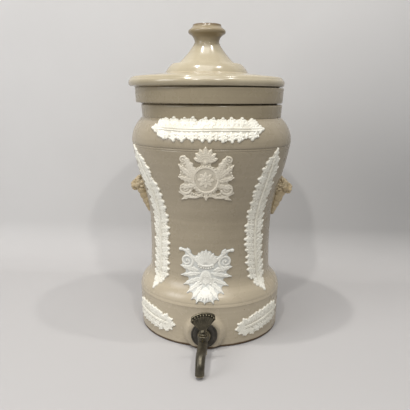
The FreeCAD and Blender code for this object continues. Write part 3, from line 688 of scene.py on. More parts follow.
def makeSpray(side):
    shape = sprayShape
    chance = random.Random(shape["seed"])
    length = shape["length"]
    slope = shape["tilts"][side]
    tilt = math.radians(slope)
    spread = length * math.cos(tilt) + shape["width"] * math.sin(tilt)
    tall = length * math.sin(tilt) + shape["width"] * math.cos(tilt)
    sheet = ReliefSheet("sprayLeft" if side < 0 else "sprayRight", spread, tall)

    # along runs outwards and up from the front end, aside is square to it
    def spot(along, aside):
        x = along * math.cos(tilt) - aside * math.sin(tilt)
        y = along * math.sin(tilt) + aside * math.cos(tilt)
        return side * x, y

    half = shape["width"] / 2
    end = length / 2
    pitch = (length - 18) / shape["pairs"]

    def narrowed(along):
        low = smoothStep((along + end + 8) / (length * 0.26))
        high = smoothStep((end + 8 - along) / (length * 0.44))
        return numpy.minimum(low, high)

    for edge in (1, -1):
        for index in range(shape["pairs"]):
            along = -end + 7 + pitch * index
            reach = (half - 0.2) * float(narrowed(along)) * 1.2 + 1.5
            heading = (40 if edge > 0 else 140) + chance.uniform(-8, 8)
            turned = side * (heading - slope)
            between = spot(along + pitch * 0.5, edge * 1.2)
            sheet.leaf(*between, turned, reach * 0.8, 4.0, 1.85, blunt=1.2)
            reach = min(reach, half * 1.26) * chance.uniform(0.94, 1.02)
            sheet.lobedLeaf(*spot(along, edge * 0.6), turned, reach, 7.0)
            if index % 2:
                sheet.dome(*spot(along + pitch, edge * half * chance.uniform(0.3, 0.5)), 1.3, 2.15)
    for along, heading, reach in ((end - 20, 90, 19.5), (14 - end, 270, 13.5), (16 - end, 304, 14),
                                  (16 - end, 236, 14), (19 - end, 334, 14.5), (19 - end, 206, 14.5)):
        sheet.lobedLeaf(*spot(along, 0), side * (heading - slope), reach, 7.2)
    along = sheet.across * side * math.cos(tilt) + sheet.up * math.sin(tilt)
    aside = sheet.up * math.cos(tilt) - sheet.across * side * math.sin(tilt)
    sheet.bed(aside, (half - 7) * narrowed(along) * (numpy.abs(along) < end - 8), 0.95)
    sheet.fillGaps(*reliefShape["fill"])
    stem = numpy.linspace(-end + 12, end - 8, 36)
    for shift in (0.9, -0.9):
        line = [spot(along, shift + 0.5 * math.sin(along / 12)) for along in stem]
        sheet.stroke(line, 0.65, 0.55, 2.25)
    return sheet.finish(side * shape["turn"], shape["height"])


# ---- two moulded panels, of a common traditional kind ----

panelShape = {
    "width": 72,
    "upperLength": 70,
    "upperHeight": 228,
    # place, heading, length, width, rise and lobes of the leaves on one side
    "upperLeaves": [
        (12, -8, 24, 33, 13, 2.0, 5), (15, -6, 48, 25, 11, 2.1, 4), (14, -10, 76, 21, 9.5, 2.1, 4),
        (11, -14, 104, 22, 8.5, 2.0, 3), (18, -28, 118, 15, 6, 1.9, 2),
    ],
    "upperFill": (2.1, 0.85),
    "palmetteLeaves": 7,
    # centre, radius and half height of the wreath
    "wreath": (-8, 14.6, 15.8),
    "wreathLeaves": 28,
    "petals": 8,
    "swagBeads": 15,
    "lowerLength": 73,
    "lowerHeight": 95,
    "lowerLeaves": [
        (6, 2, 102, 28, 8.5, 2.0, 4), (5.2, -4, 116, 27, 8.5, 2.0, 4), (4.4, -9, 128, 25, 8.0, 2.0, 3),
        (3.6, -14, 140, 22, 7.5, 2.0, 3), (2.8, -19, 152, 18, 6.8, 2.0, 2), (9, 5, 80, 25, 10, 2.1, 4),
        (20, 26, 30, 9, 5, 1.9, 0),
    ],
    "lowerFill": (2.6, 0.9),
    "shellRibs": 9,
    "collarBeads": 7,
}


def makeUpperPanel():
    sheet = ReliefSheet("panelUpper", panelShape["width"], panelShape["upperLength"])
    # palmette at the top
    for index in range(panelShape["palmetteLeaves"]):
        heading = -72 + 24 * index
        sheet.leaf(0, 14, heading, 19 * (1 - 0.2 * abs(heading) / 72), 6.4, 2.1, blunt=1.25)
    sheet.dome(0, 14, 3.6, 2.3)
    for side in (1, -1):
        # acanthus leaves that rise on both sides and curl over
        for x, y, heading, length, width, rise, lobes in panelShape["upperLeaves"]:
            sheet.leaf(side * x, y, side * heading, length, width, rise, lobes)
        sheet.scroll(side * 25.5, -19.5, 7.4, 1.6, -side, side * 250, 1.6)
        sheet.scroll(side * 27.5, 16.5, 5.2, 1.4, side, side * 200, 1.3)
        sheet.stroke([(side * 5, -27), (side * 12, -30.5), (side * 20, -30.8), (side * 28, -27.5),
                      (side * 33, -25)], 2.2, 1.2, 2.0, 0.4)
        for index in range(4):
            sheet.dome(side * (31.0 - index * 1.2), -3 + index * 4.0, 1.5, 1.9)
    # wreath with a rosette
    centre, radius, tall = panelShape["wreath"]
    sheet.dome(0, centre, 15.2, 1.0, 1.08, flat=0.72)
    sheet.ring(0, centre, radius, 1.5, 2.0, 1.08)
    for index in range(panelShape["wreathLeaves"]):
        turn = 2 * math.pi * (index + 0.5) / panelShape["wreathLeaves"]
        sheet.leaf(radius * math.sin(turn), centre + tall * math.cos(turn), math.degrees(turn) + 62,
                   5.6, 3.2, 2.3, veins=0)
    for index in range(panelShape["petals"]):
        heading = 360 / panelShape["petals"] * index
        sheet.leaf(0, centre, heading, 10.6, 5.6, 1.9, blunt=1.25, veins=0.05)
        sheet.leaf(0, centre, heading + 180 / panelShape["petals"], 6.6, 3.4, 2.15, blunt=1.1, veins=0)
    sheet.dome(0, centre, 2.3, 2.35)
    # a swag of beads under the wreath
    for index in range(panelShape["swagBeads"]):
        share = index / (panelShape["swagBeads"] - 1) * 2 - 1
        sheet.dome(share * 17, -29.5 + 4.2 * share * share, 1.35, 1.9)
    sheet.leaf(0, -25, 180, 10, 7.5, 2.1, lobes=2)
    sheet.fillGaps(*panelShape["upperFill"])
    return sheet.finish(0, panelShape["upperHeight"])


def makeLowerPanel():
    sheet = ReliefSheet("panelLower", panelShape["width"], panelShape["lowerLength"])
    for side in (1, -1):
        # long leaves that narrow to the foot of the panel
        for x, y, heading, length, width, rise, lobes in panelShape["lowerLeaves"]:
            sheet.leaf(side * x, y, side * heading, length, width, rise, lobes)
        sheet.scroll(side * 24.5, 16.5, 8.6, 1.55, side, side * 205, 1.8)
        sheet.stroke([(side * 5, 21.5), (side * 10, 19.8), (side * 15, 20.5), (side * 20, 25),
                      (side * 26, 30), (side * 32, 31.5)], 2.4, 1.5, 2.1, 0.4)
        for x, y, radius, rise in ((33, 31.0, 2.4, 2.1), (7.2, -6, 1.6, 2.2), (9.6, -10.5, 1.4, 2.1),
                                   (6.0, -12.5, 1.4, 2.1)):
            sheet.dome(side * x, y, radius, rise)
    # upright shell with a beaded collar
    for index in range(panelShape["shellRibs"]):
        heading = -60 + 15 * index
        sheet.leaf(0, 11, heading, 22 - 4.2 * abs(heading) / 60, 6.0, 2.1, blunt=1.7, veins=0)
    sheet.stroke([(-9, 13.0), (-4.5, 11.4), (0, 11.0), (4.5, 11.4), (9, 13.0)], 2.0, 2.0, 2.3, 0.3)
    for index in range(panelShape["collarBeads"]):
        x = -9 + 3 * index
        sheet.dome(x, 8.2 + 0.022 * x * x, 1.45, 2.2)
    # bud and hanging leaves
    sheet.dome(0, -4, 8.0, 1.6, 1.35, flat=0.35)
    for heading in (-28, 28, 0):
        sheet.leaf(0, 5, 180 + heading, 21, 7.5, 2.2, lobes=3)
    for heading in (-38, 38, -16, 16, 0):
        sheet.leaf(0, -17, 180 + heading, 18.6 - 0.14 * abs(heading), 5.8, 2.15, lobes=2)
    sheet.fillGaps(*panelShape["lowerFill"])
    return sheet.finish(0, panelShape["lowerHeight"])


# ---- lion-head lugs ----

lugShape = {
    "voxel": 0.42,
    "reach": 114.1,
    "seed": 7,
    "maneLocks": 11,
    # half depth and half width of a lock, and how unevenly the locks lie
    "lock": (4.2, 2.0),
    "lockSpread": 0.25,
    # place out, radius, half height and shift of each ring of locks
    "maneRings": [(99.6, 6.9, 3.5, 0), (95.4, 7.2, 4.2, 0.5), (91.0, 6.6, 4.4, 0)],
    "maneHeight": 198.4,
    "combHeight": 199.2,
    "combDepth": 0.16,
    "combLines": 42,
    # the combed mane lies behind the face, outside a radius and above a height
    "maneOut": 104.5,
    "maneFrom": 7.5,
    "maneFoot": 186,
    "neckLines": 24,
    "neckAxis": 82,
    "neckTop": 190,
    # centre out, aside and up, then the three half widths and a tilt
    "head": [
        (97.5, 0, 200.0, 10.0, 9.6, 9.8, 0),
        (106.8, 0, 194.6, 5.8, 5.2, 4.8, 12),
        (111.4, 0, 197.0, 2.0, 2.9, 1.9, 0),
        (107.6, 0, 200.2, 5.2, 2.3, 2.4, 32),
        (107.4, 0, 189.4, 4.2, 3.6, 2.5, 0),
        (96.0, 0, 190.0, 8.6, 8.4, 8.5, 0),
        (93.0, 0, 182.0, 7.6, 7.4, 8.5, 0),
        (90.2, 0, 174.5, 6.4, 6.4, 8.0, 0),
        (88.0, 0, 168.0, 5.0, 5.2, 7.0, 0),
        (86.6, 0, 163.0, 3.6, 3.8, 6.0, 0),
    ],
    "pairs": [
        (109.0, 2.5, 193.2, 3.6, 2.9, 2.9, 0),
        (104.0, 3.7, 204.0, 3.0, 3.0, 1.9, 18),
        (105.2, 4.2, 201.0, 1.7, 1.7, 1.4, 0),
        (102.2, 6.4, 195.4, 4.4, 3.6, 4.6, 0),
        (98.6, 8.6, 207.4, 2.2, 2.6, 3.4, -10),
    ],
}


def blob(out, aside, up, halfOut, halfAside, halfUp, tilt, side, twist=0.0):
    piece = newPiece("lugBlob", "uv_sphere", segments=28, ring_count=18, radius=mm)
    stretch = Matrix.Diagonal((halfOut, halfAside, halfUp, 1))
    turn = Matrix.Rotation(math.radians(tilt), 4, "Y") @ Matrix.Rotation(twist, 4, "X")
    shift = Matrix.Translation(Vector((out, aside, up)) * mm)
    piece.data.transform(shift @ turn @ stretch)
    if side < 0:
        piece.data.transform(Matrix.Rotation(math.pi, 4, "Z"))
    return piece


def makeLug(side):
    shape = lugShape
    blobs = [blob(*row, side) for row in shape["head"]]
    for row in shape["pairs"]:
        blobs.append(blob(*row, side))
        blobs.append(blob(row[0], -row[1], *row[2:], side))
    chance = random.Random(shape["seed"])
    spread = shape["lockSpread"]
    for out, radius, size, offset in shape["maneRings"]:
        for index in range(shape["maneLocks"]):
            turn = 2 * math.pi * (index + offset) / shape["maneLocks"]
            reach = radius + chance.uniform(-spread, spread)
            up = shape["maneHeight"] + reach * math.cos(turn)
            blobs.append(blob(out, reach * math.sin(turn), up, *shape["lock"], size, 0, side, -turn))
    lug = joined(blobs, "lugLeft" if side < 0 else "lugRight")
    applyModifier(lug, "REMESH", mode="VOXEL", voxel_size=shape["voxel"] * mm)
    applyModifier(lug, "SMOOTH", factor=0.5, iterations=3)
    # combed lines in the mane and down the neck
    points = meshPoints(lug) / mm
    x, y, z = points.T
    out = numpy.abs(x)
    up = z - shape["combHeight"]
    mane = smoothStep((shape["maneOut"] - out) / 3)
    mane *= smoothStep((numpy.hypot(y, up) - shape["maneFrom"]) / 2) * (z > shape["maneFoot"])
    comb = numpy.sin(numpy.arctan2(y, up) * shape["combLines"]) * shape["combDepth"] * mane
    neck = smoothStep((shape["neckTop"] - z) / 5)
    around = numpy.arctan2(y, out - shape["neckAxis"])
    comb += numpy.sin(around * shape["neckLines"]) * shape["combDepth"] * neck
    normals = numpy.zeros(len(lug.data.vertices) * 3)
    lug.data.vertices.foreach_get("normal", normals)
    points += normals.reshape(-1, 3) * comb[:, None]
    points[:, 0] = numpy.clip(points[:, 0], -shape["reach"], shape["reach"])
    putPoints(lug, points * mm)
    return smoothed(lug, 75)


# ---- brass tap ----

tapShape = {
    "axis": 125.3,
    "height": 21,
    # outlines are radius with the distance to the front, or with the height
    "arm": [(0, 77.6), (6.0, 77.6), (6.5, 78.1)],
    "threadTurns": 24,
    "threadStart": 78.6,
    "threadTop": 6.5,
    "threadFoot": 6.05,
    "armFront": [(6.5, 105.2), (8.2, 105.35), (8.2, 108.2), (7.5, 109.3), (6.1, 109.7), (5.6, 111.2),
                 (5.5, 115.6), (6.2, 116.4), (6.2, 117.6), (5.5, 118.4), (5.9, 125.3), (0, 125.3)],
    "barrel": [(0, 11), (5.0, 11), (5.6, 11.6), (5.7, 12.6), (5.45, 13.4), (5.6, 16), (5.85, 21),
               (6.2, 25.4), (6.55, 27.2), (6.25, 27.7), (6.25, 28.2), (6.9, 28.6), (6.9, 31.0),
               (6.5, 31.5), (0, 31.5)],
    "bore": [(0, 10), (3.9, 10), (4.98, 32.5), (0, 32.5)],
    "flange": [(6.6, 103.1), (16.6, 103.1), (17.0, 103.5), (17.0, 104.7), (16.5, 105.25),
               (15.3, 105.3), (14.9, 104.85), (14.3, 104.85), (13.9, 105.2), (9.8, 105.3),
               (9.3, 105.0), (6.6, 105.0), (6.6, 103.1)],
    "stem": [(0, 5.0), (2.1, 5.0), (2.4, 5.3), (2.4, 11), (3.9, 11), (4.9, 31.5), (4.9, 31.8),
             (5.2, 32.1), (5.2, 33.4), (4.8, 33.8), (3.5, 34.0), (3.2, 34.9), (3.9, 35.6),
             (4.1, 36.3), (3.7, 37.0), (2.6, 38.6), (0, 39.2)],
    "keyTurn": 20,
}
spoutShape = {
    "start": 125.3,
    "straight": 156.8,
    "run": 31.5,
    "runSteps": 16,
    "bend": 15,
    "bendRun": 23.6,
    "bendSteps": 28,
    "radius": 5.7,
    "lip": 0.75,
    "outletBore": 3.8,
    "outletDepth": 8,
    "lowest": 4.5,
    # thickness of the casting, its bulge over the run, and each change with its start and length
    "thickness": 0.99,
    "bulge": 0.03,
    "bulgeRun": 56,
    "changes": [(-0.05, 34, 14), (0.03, 52.6, 1.0)],
}
fanShape = {
    "columns": 240,
    "rows": 90,
    "focus": 33.5,
    "foot": 4.4,
    "reach": 27.5,
    "spread": 43,
    "cornerFrom": 31,
    "cornerDrop": 4.2,
    "ribs": 10,
    "band": 5.2,
    "rim": 1.7,
    "beads": 9,
    "beadPlace": 3.0,
    "beadRadius": 1.05,
    # shares of the half thickness, and the half thickness itself
    "flute": 0.5,
    "fluteRise": 0.25,
    "bandRise": 0.4,
    "rimRise": 0.85,
    "beadRise": 0.6,
    "halfThickness": 1.38,
}


def makeSpout():
    shape = spoutShape
    height = tapShape["height"]
    radius = shape["radius"]
    bend = shape["bend"]
    spout = settle(newPiece("tapSpout", "circle", vertices=48, radius=radius * mm, fill_type="NGON",
                            location=(0, -shape["start"] * mm, height * mm),
                            rotation=(math.pi / 2, 0, 0)))
    openEdit(spout)
    step = (shape["straight"] - shape["start"]) / shape["runSteps"]
    for index in range(shape["runSteps"]):
        pull(0, -step * mm, 0)
    centre = Vector((0, -shape["straight"], height - bend)) * mm
    bpy.ops.mesh.spin(steps=shape["bendSteps"], angle=-math.pi / 2, center=centre, axis=(1, 0, 0))
    for index in range(2):
        pull(0, 0, -shape["lip"] * mm)
    bpy.ops.mesh.inset(thickness=(radius - shape["outletBore"]) * mm)
    pull(0, 0, shape["outletDepth"] * mm)
    evenNormals()
    closeEdit()
    # the casting swells in the run and has a lip at the outlet
    points = meshPoints(spout) / mm
    x, y, z = points.T
    bendY = -shape["straight"]
    bendZ = height - bend
    turn = numpy.arctan2(-(y - bendY), z - bendZ)
    inBend = (y < bendY) & (z > bendZ)
    below = z <= bendZ
    along = numpy.where(below, shape["run"] + shape["bendRun"] + bendZ - z, -y - shape["start"])
    along = numpy.where(inBend, shape["run"] + numpy.clip(turn, 0, math.pi / 2) * bend, along)
    middleY = numpy.where(inBend, bendY - bend * numpy.sin(turn), numpy.where(below, bendY - bend, y))
    middleZ = numpy.where(inBend, bendZ + bend * numpy.cos(turn), numpy.where(below, z, height))
    swell = shape["thickness"] + shape["bulge"] * numpy.sin(along / shape["bulgeRun"] * math.pi)
    for change, start, run in shape["changes"]:
        swell += change * smoothStep((along - start) / run)
    reach = numpy.sqrt(x ** 2 + (y - middleY) ** 2 + (z - middleZ) ** 2)
    scale = numpy.where(reach > shape["outletBore"] + 0.4, swell, 1)
    points[:, 0] = x * scale
    points[:, 1] = middleY + (y - middleY) * scale
    points[:, 2] = numpy.maximum(middleZ + (z - middleZ) * scale, shape["lowest"])
    putPoints(spout, points * mm)
    return spout


def makeTapBody():
    shape = tapShape
    front = (0, -shape["axis"], 0)
    arm = list(shape["arm"])
    # thread on the tail behind the wall
    for index in range(shape["threadTurns"]):
        start = shape["threadStart"] + index * 1.0
        arm += [(shape["threadTop"], start), (shape["threadFoot"], start + 0.4),
                (shape["threadTop"], start + 0.8)]
    arm = easedCorners(arm + shape["armFront"], 0.35, 50)
    body = turnedPiece("tapCasting", arm, (0, 0, shape["height"]), "Y", 64)
    barrel = turnedPiece("tapBarrel", easedCorners(shape["barrel"], 0.4, 20), front, "Z", 72)
    carve(body, barrel, "UNION")
    carve(body, makeSpout(), "UNION")
    carve(body, turnedPiece("plugBore", shape["bore"], front, "Z", 64))
    return smoothed(body, 32)


def makeFlange():
    line = easedCorners(tapShape["flange"], 0.3, 20)
    return smoothed(turnedPiece("tapFlange", line, (0, 0, tapShape["height"]), "Y", 120), 40)


def makeFan():
    shape = fanShape
    key = newPiece("tapFan", "grid", x_subdivisions=shape["columns"], y_subdivisions=shape["rows"], size=1)
    openEdit(key)
    pull(0, 0, 1)
    evenNormals()
    closeEdit()
    points = meshPoints(key)
    spread = math.radians(shape["spread"])
    across = points[:, 0] * 2 * spread
    share = points[:, 1] + 0.5
    face = numpy.where(points[:, 2] > 0.5, -1.0, 1.0)
    corner = smoothStep((numpy.abs(across) - math.radians(shape["cornerFrom"])) / math.radians(12))
    edge = shape["reach"] - shape["cornerDrop"] * corner
    foot = shape["foot"]
    reach = foot + (edge - foot) * share
    inner = edge - reach
    # flutes fan out from the foot to a raised rim, with a row of beads inside it
    ribs = numpy.abs(numpy.cos(across / (2 * spread) * math.pi * shape["ribs"]))
    body = shape["flute"] + shape["fluteRise"] * ribs
    body = numpy.maximum(body, 1.0 - 0.7 * smoothStep((reach - 5.5) / 4))
    body = numpy.where(inner < shape["band"], numpy.minimum(body, shape["bandRise"]), body)
    body = numpy.maximum(body, shape["rimRise"] * smoothStep((shape["rim"] - inner) / 0.4))
    beads = shape["beads"]
    count = (across / (2 * spread) + 0.5) * (beads + 1)
    nearest = numpy.round(count)
    aside = (count - nearest) * 2 * spread / (beads + 1)
    gap = numpy.hypot(aside * reach, inner - shape["beadPlace"])
    present = (nearest > 0.5) & (nearest < beads + 0.5)
    body += shape["beadRise"] * numpy.where(present, swollen(gap, shape["beadRadius"]), 0)
    # all the edges are eased
    side = smoothStep((spread - numpy.abs(across)) * reach / 0.7)
    easing = numpy.minimum(numpy.minimum(side, smoothStep(inner / 0.6)), smoothStep((reach - foot) / 0.3))
    body *= 0.55 + 0.45 * easing
    points[:, 0] = reach * numpy.sin(across)
    points[:, 1] = face * body * shape["halfThickness"]
    points[:, 2] = shape["focus"] + reach * numpy.cos(across)
    putPoints(key, points * mm)
    return key


def makePlug():
    shape = tapShape
    key = turnedPiece("tapKey", easedCorners(shape["stem"], 0.35, 20), (0, 0, 0), "Z", 64)
    carve(key, makeFan(), "UNION")
    key.data.transform(Matrix.Translation((0, -shape["axis"] * mm, 0))
                       @ Matrix.Rotation(math.radians(shape["keyTurn"]), 4, "Z"))
    return smoothed(key, 40)


# ---- node groups ----

def feed(tree, socket, value):
    # another node's result is linked to the socket, a plain value sits on it
    if isinstance(value, bpy.types.NodeSocket):
        tree.links.new(value, socket)
    else:
        socket.default_value = value


def addNode(tree, kind, inputs=None, **settings):
    node = tree.nodes.new("ShaderNode" + kind)
    for name, value in settings.items():
        setattr(node, name, value)
    for name, value in (inputs or {}).items():
        feed(tree, node.inputs[name], value)
    return node


def newGroup(name, inputs, output):
    group = bpy.data.node_groups.new(name, "ShaderNodeTree")
    for label, (kind, value) in inputs.items():
        socket = group.interface.new_socket(name=label, in_out="INPUT", socket_type="NodeSocket" + kind)
        socket.default_value = value
    for label, kind in output.items():
        group.interface.new_socket(name=label, in_out="OUTPUT", socket_type="NodeSocket" + kind)
    start = group.nodes.new("NodeGroupInput")
    end = group.nodes.new("NodeGroupOutput")
    return group, start.outputs, end.inputs


def noise(tree, vector, scale, detail=3.0, roughness=0.55):
    inputs = {"Detail": detail, "Roughness": roughness, "Vector": vector, "Scale": scale}
    return addNode(tree, "TexNoise", inputs).outputs["Fac"]


def mapRange(tree, value, low, high, toLow=0.0, toHigh=1.0):
    inputs = {"Value": value, "From Min": low, "From Max": high, "To Min": toLow, "To Max": toHigh}
    return addNode(tree, "MapRange", inputs).outputs["Result"]


def uneven(tree, where, scale, detail, low, high):
    return mapRange(tree, noise(tree, where, scale, detail), 0.3, 0.7, low, high)


def maths(tree, operation, *values):
    return addNode(tree, "Math", dict(enumerate(values)), operation=operation).outputs[0]


def mixColour(tree, share, first, second, blend="MIX"):
    inputs = {0: share, 6: first, 7: second}
    return addNode(tree, "Mix", inputs, data_type="RGBA", blend_type=blend).outputs[2]


def mixNumber(tree, share, first, second):
    return addNode(tree, "Mix", {0: share, 2: first, 3: second}, data_type="FLOAT").outputs[0]


def makeMottleGroup():
    # two clay tones that drift into each other, with a fine grain over them
    group, start, end = newGroup("clayMottle", {
        "Vector": ("Vector", (0, 0, 0)), "Light": ("Color", (1, 1, 1, 1)), "Dark": ("Color", (0, 0, 0, 1)),
        "Patch Scale": ("Float", 14.0), "Grain Scale": ("Float", 500.0), "Grain": ("Float", 0.06),
    }, {"Color": "Color", "Grain": "Float"})
    patch = noise(group, start["Vector"], start["Patch Scale"], 4, 0.5)
    clay = mixColour(group, mapRange(group, patch, 0.35, 0.65), start["Dark"], start["Light"])
    grain = noise(group, start["Vector"], start["Grain Scale"], 2, 0.6)
    low = maths(group, "SUBTRACT", 1.0, start["Grain"])
    high = maths(group, "ADD", 1.0, start["Grain"])
    shade = mapRange(group, grain, 0.3, 0.7, low, high)
    grey = addNode(group, "CombineColor", {0: shade, 1: shade, 2: shade}).outputs[0]
    group.links.new(mixColour(group, 1.0, clay, grey, "MULTIPLY"), end["Color"])
    group.links.new(grain, end["Grain"])
    return group


def makeSpeckGroup():
    # small round spots, far apart, of uneven size
    group, start, end = newGroup("ironSpecks", {
        "Vector": ("Vector", (0, 0, 0)), "Scale": ("Float", 60.0), "Size": ("Float", 0.12),
        "Share": ("Float", 0.5),
    }, {"Mask": "Float"})
    cells = addNode(group, "TexVoronoi", {"Vector": start["Vector"], "Scale": start["Scale"]})
    chance = addNode(group, "SeparateColor", {0: cells.outputs["Color"]})
    picked = maths(group, "LESS_THAN", chance.outputs[0], start["Share"])
    size = maths(group, "MULTIPLY", start["Size"], maths(group, "ADD", chance.outputs[1], 0.4))
    inside = mapRange(group, cells.outputs["Distance"], size, maths(group, "MULTIPLY", size, 0.5))
    group.links.new(maths(group, "MULTIPLY", picked, inside), end["Mask"])
    return group


def makeEdgeAndHollowGroup():
    # where raised edges are rubbed, and the hollows, which the clay finishes darken as painted shade and the
    # brass as patina
    group, start, end = newGroup("edgeWearAndHollows", {
        "Vector": ("Vector", (0, 0, 0)), "Start": ("Float", 0.51), "Full": ("Float", 0.58),
        "Break Scale": ("Float", 240.0),
    }, {"Mask": "Float", "Hollow": "Float"})
    edges = addNode(group, "NewGeometry").outputs["Pointiness"]
    worn = mapRange(group, edges, start["Start"], start["Full"])
    breaks = noise(group, start["Vector"], start["Break Scale"], 4, 0.6)
    broken = mapRange(group, breaks, 0.35, 0.6, 0.35, 1.0)
    group.links.new(maths(group, "MULTIPLY", worn, broken), end["Mask"])
    # hollow mask: painted shade on the clay finishes, patina on the brass
    group.links.new(mapRange(group, edges, 0.49, 0.44), end["Hollow"])
    return group


def makeTurningGroup():
    # faint rings that a wheel leaves
    group, start, end = newGroup("wheelRings", {
        "Vector": ("Vector", (0, 0, 0)), "Pitch": ("Float", 160.0),
    }, {"Height": "Float"})
    flat = addNode(group, "Mapping", {"Scale": (0.02, 0.02, 1.0), "Vector": start["Vector"]})
    group.links.new(noise(group, flat.outputs["Vector"], start["Pitch"], 3, 0.6), end["Height"])
    return group


groups = {
    "mottle": makeMottleGroup(),
    "specks": makeSpeckGroup(),
    "edgesAndHollows": makeEdgeAndHollowGroup(),
    "rings": makeTurningGroup(),
}
print("node groups made")


# ---- materials ----

def tone(red, green, blue):
    # a colour as it is read off a screen, made linear
    def linear(value):
        share = value / 255
        return share / 12.92 if share <= 0.04045 else ((share + 0.055) / 1.055) ** 2.4

    return (linear(red), linear(green), linear(blue), 1)


def newMaterial(name, **plain):
    material = bpy.data.materials.new(name)
    material.use_nodes = True
    tree = material.node_tree
    shader = tree.nodes["Principled BSDF"]
    for label, value in plain.items():
        shader.inputs[label].default_value = value
    return material, tree, shader, addNode(tree, "TexCoord").outputs["Object"]


def useGroup(tree, name, where, **values):
    node = tree.nodes.new("ShaderNodeGroup")
    node.node_tree = groups[name]
    feed(tree, node.inputs["Vector"], where)
    for label, value in values.items():
        node.inputs[label.replace("_", " ")].default_value = value
    return node.outputs


def newClay(name, light, dark, patch, grainScale, grain, **plain):
    # a material of two close tones, and what its colour starts from
    material, tree, shader, where = newMaterial(name, **plain)
    mottle = useGroup(tree, "mottle", where, Light=tone(*light), Dark=tone(*dark),
                      Patch_Scale=patch, Grain_Scale=grainScale, Grain=grain)
    return material, tree, shader, where, mottle


def tinted(tree, colour, mask, strength, red, green, blue):
    share = mask if strength == 1 else maths(tree, "MULTIPLY", mask, strength)
    return mixColour(tree, share, colour, tone(red, green, blue))


def complete(tree, shader, colour, roughness, layers):
    # layers are heights, each with its depth in millimetres and its strength
    feed(tree, shader.inputs["Base Color"], colour)
    feed(tree, shader.inputs["Roughness"], roughness)
    normal = None
    for height, depth, strength in layers:
        node = addNode(tree, "Bump", {"Distance": depth * mm, "Strength": strength, "Height": height})
        if normal is not None:
            tree.links.new(normal, node.inputs["Normal"])
        normal = node.outputs["Normal"]
    tree.links.new(normal, shader.inputs["Normal"])


def heightOf(tree, where):
    return addNode(tree, "SeparateXYZ", {0: where}).outputs["Z"]


def makeStoneware():
    material, tree, shader, where, mottle = newClay("stonewareGlaze", (166, 155, 134), (153, 142, 121),
                                                    11.0, 620.0, 0.05, IOR=1.5)
    rings = useGroup(tree, "rings", where, Pitch=230.0)["Height"]
    specks = useGroup(tree, "specks", where, Scale=85.0, Size=0.06, Share=0.3)
    edgesAndHollows = useGroup(tree, "edgesAndHollows", where, Start=0.53, Full=0.62)
    height = heightOf(tree, where)
    # painted light: paler towards the foot, where light bounces up off the floor; painted shade: browner and
    # darker at the neck and the pot's band over it, under the lid's overhang
    low = mapRange(tree, height, 0.13, 0.062, 0.0, 0.68)
    high = mapRange(tree, height, 0.287, 0.293, 0.0, 0.6)
    colour = tinted(tree, mottle["Color"], low, 1, 190, 178, 155)
    colour = tinted(tree, colour, high, 1, 148, 136, 111)
    colour = tinted(tree, colour, mapRange(tree, rings, 0.3, 0.7, 0.0, 0.16), 1, 120, 110, 92)
    colour = tinted(tree, colour, specks["Mask"], 0.6, 104, 86, 62)
    colour = tinted(tree, colour, edgesAndHollows["Mask"], 0.35, 196, 186, 164)
    # painted shade in the hollows of the glaze
    colour = tinted(tree, colour, edgesAndHollows["Hollow"], 0.35, 98, 84, 64)
    # the foot was wiped bare of glaze; the dark band is also painted contact shadow where the jar meets the
    # floor
    ragged = maths(tree, "MULTIPLY", noise(tree, where, 90.0, 3), 0.0016)
    foot = mapRange(tree, maths(tree, "ADD", height, ragged), 0.0047, 0.0037)
    colour = tinted(tree, colour, foot, 1, 92, 74, 54)
    rough = uneven(tree, where, 36.0, 4, 0.22, 0.34)
    complete(tree, shader, colour, mixNumber(tree, foot, rough, 0.85),
             [(rings, 0.3, 0.35), (noise(tree, where, 340.0, 2), 0.12, 0.3), (mottle["Grain"], 0.05, 0.3)])
    return material


def makeLidGlaze():
    material, tree, shader, where, mottle = newClay("lidGlaze", (175, 165, 142), (162, 151, 127),
                                                    16.0, 500.0, 0.03, IOR=1.52)
    rings = useGroup(tree, "rings", where, Pitch=260.0)["Height"]
    specks = useGroup(tree, "specks", where, Scale=120.0, Size=0.10, Share=0.4)
    edgesAndHollows = useGroup(tree, "edgesAndHollows", where, Start=0.53, Full=0.62)
    height = heightOf(tree, where)
    ringShade = mapRange(tree, rings, 0.35, 0.7, 0.0, 0.16)
    colour = tinted(tree, mottle["Color"], ringShade, 1, 150, 138, 110)
    # brown spots gather on the rim
    patch = mapRange(tree, noise(tree, where, 22.0, 2), 0.5, 0.6)
    spots = maths(tree, "MULTIPLY", specks["Mask"], mapRange(tree, height, 0.341, 0.334))
    colour = tinted(tree, colour, maths(tree, "MULTIPLY", spots, patch), 1, 92, 62, 34)
    colour = tinted(tree, colour, edgesAndHollows["Mask"], 0.4, 176, 160, 128)
    # painted shade in the hollows of the lid
    colour = tinted(tree, colour, edgesAndHollows["Hollow"], 0.5, 122, 104, 74)
    # darker and browner over the knob: its glaze ran thin and brown, and the darkening also stands as
    # painted shade on the knob's neck and underside
    colour = tinted(tree, colour, mapRange(tree, height, 0.378, 0.394, 0.0, 0.7), 1, 122, 107, 79)
    # bare edge round the flat top of the knob
    centred = addNode(tree, "Mapping", {"Location": (-lidShape["shift"] * mm, 0, 0), "Vector": where})
    flat = addNode(tree, "VectorMath", {0: centred.outputs[0], 1: (1, 1, 0)}, operation="MULTIPLY")
    reach = addNode(tree, "VectorMath", {0: flat.outputs[0]}, operation="LENGTH").outputs["Value"]
    ring = maths(tree, "MULTIPLY", mapRange(tree, reach, 0.0162, 0.0172),
                 mapRange(tree, height, 0.4078, 0.4088))
    colour = tinted(tree, colour, ring, 0.75, 96, 74, 48)
    rough = uneven(tree, where, 40.0, 4, 0.12, 0.22)
    complete(tree, shader, colour, rough,
             [(rings, 0.25, 0.25), (noise(tree, where, 300.0, 2), 0.08, 0.25)])
    return material


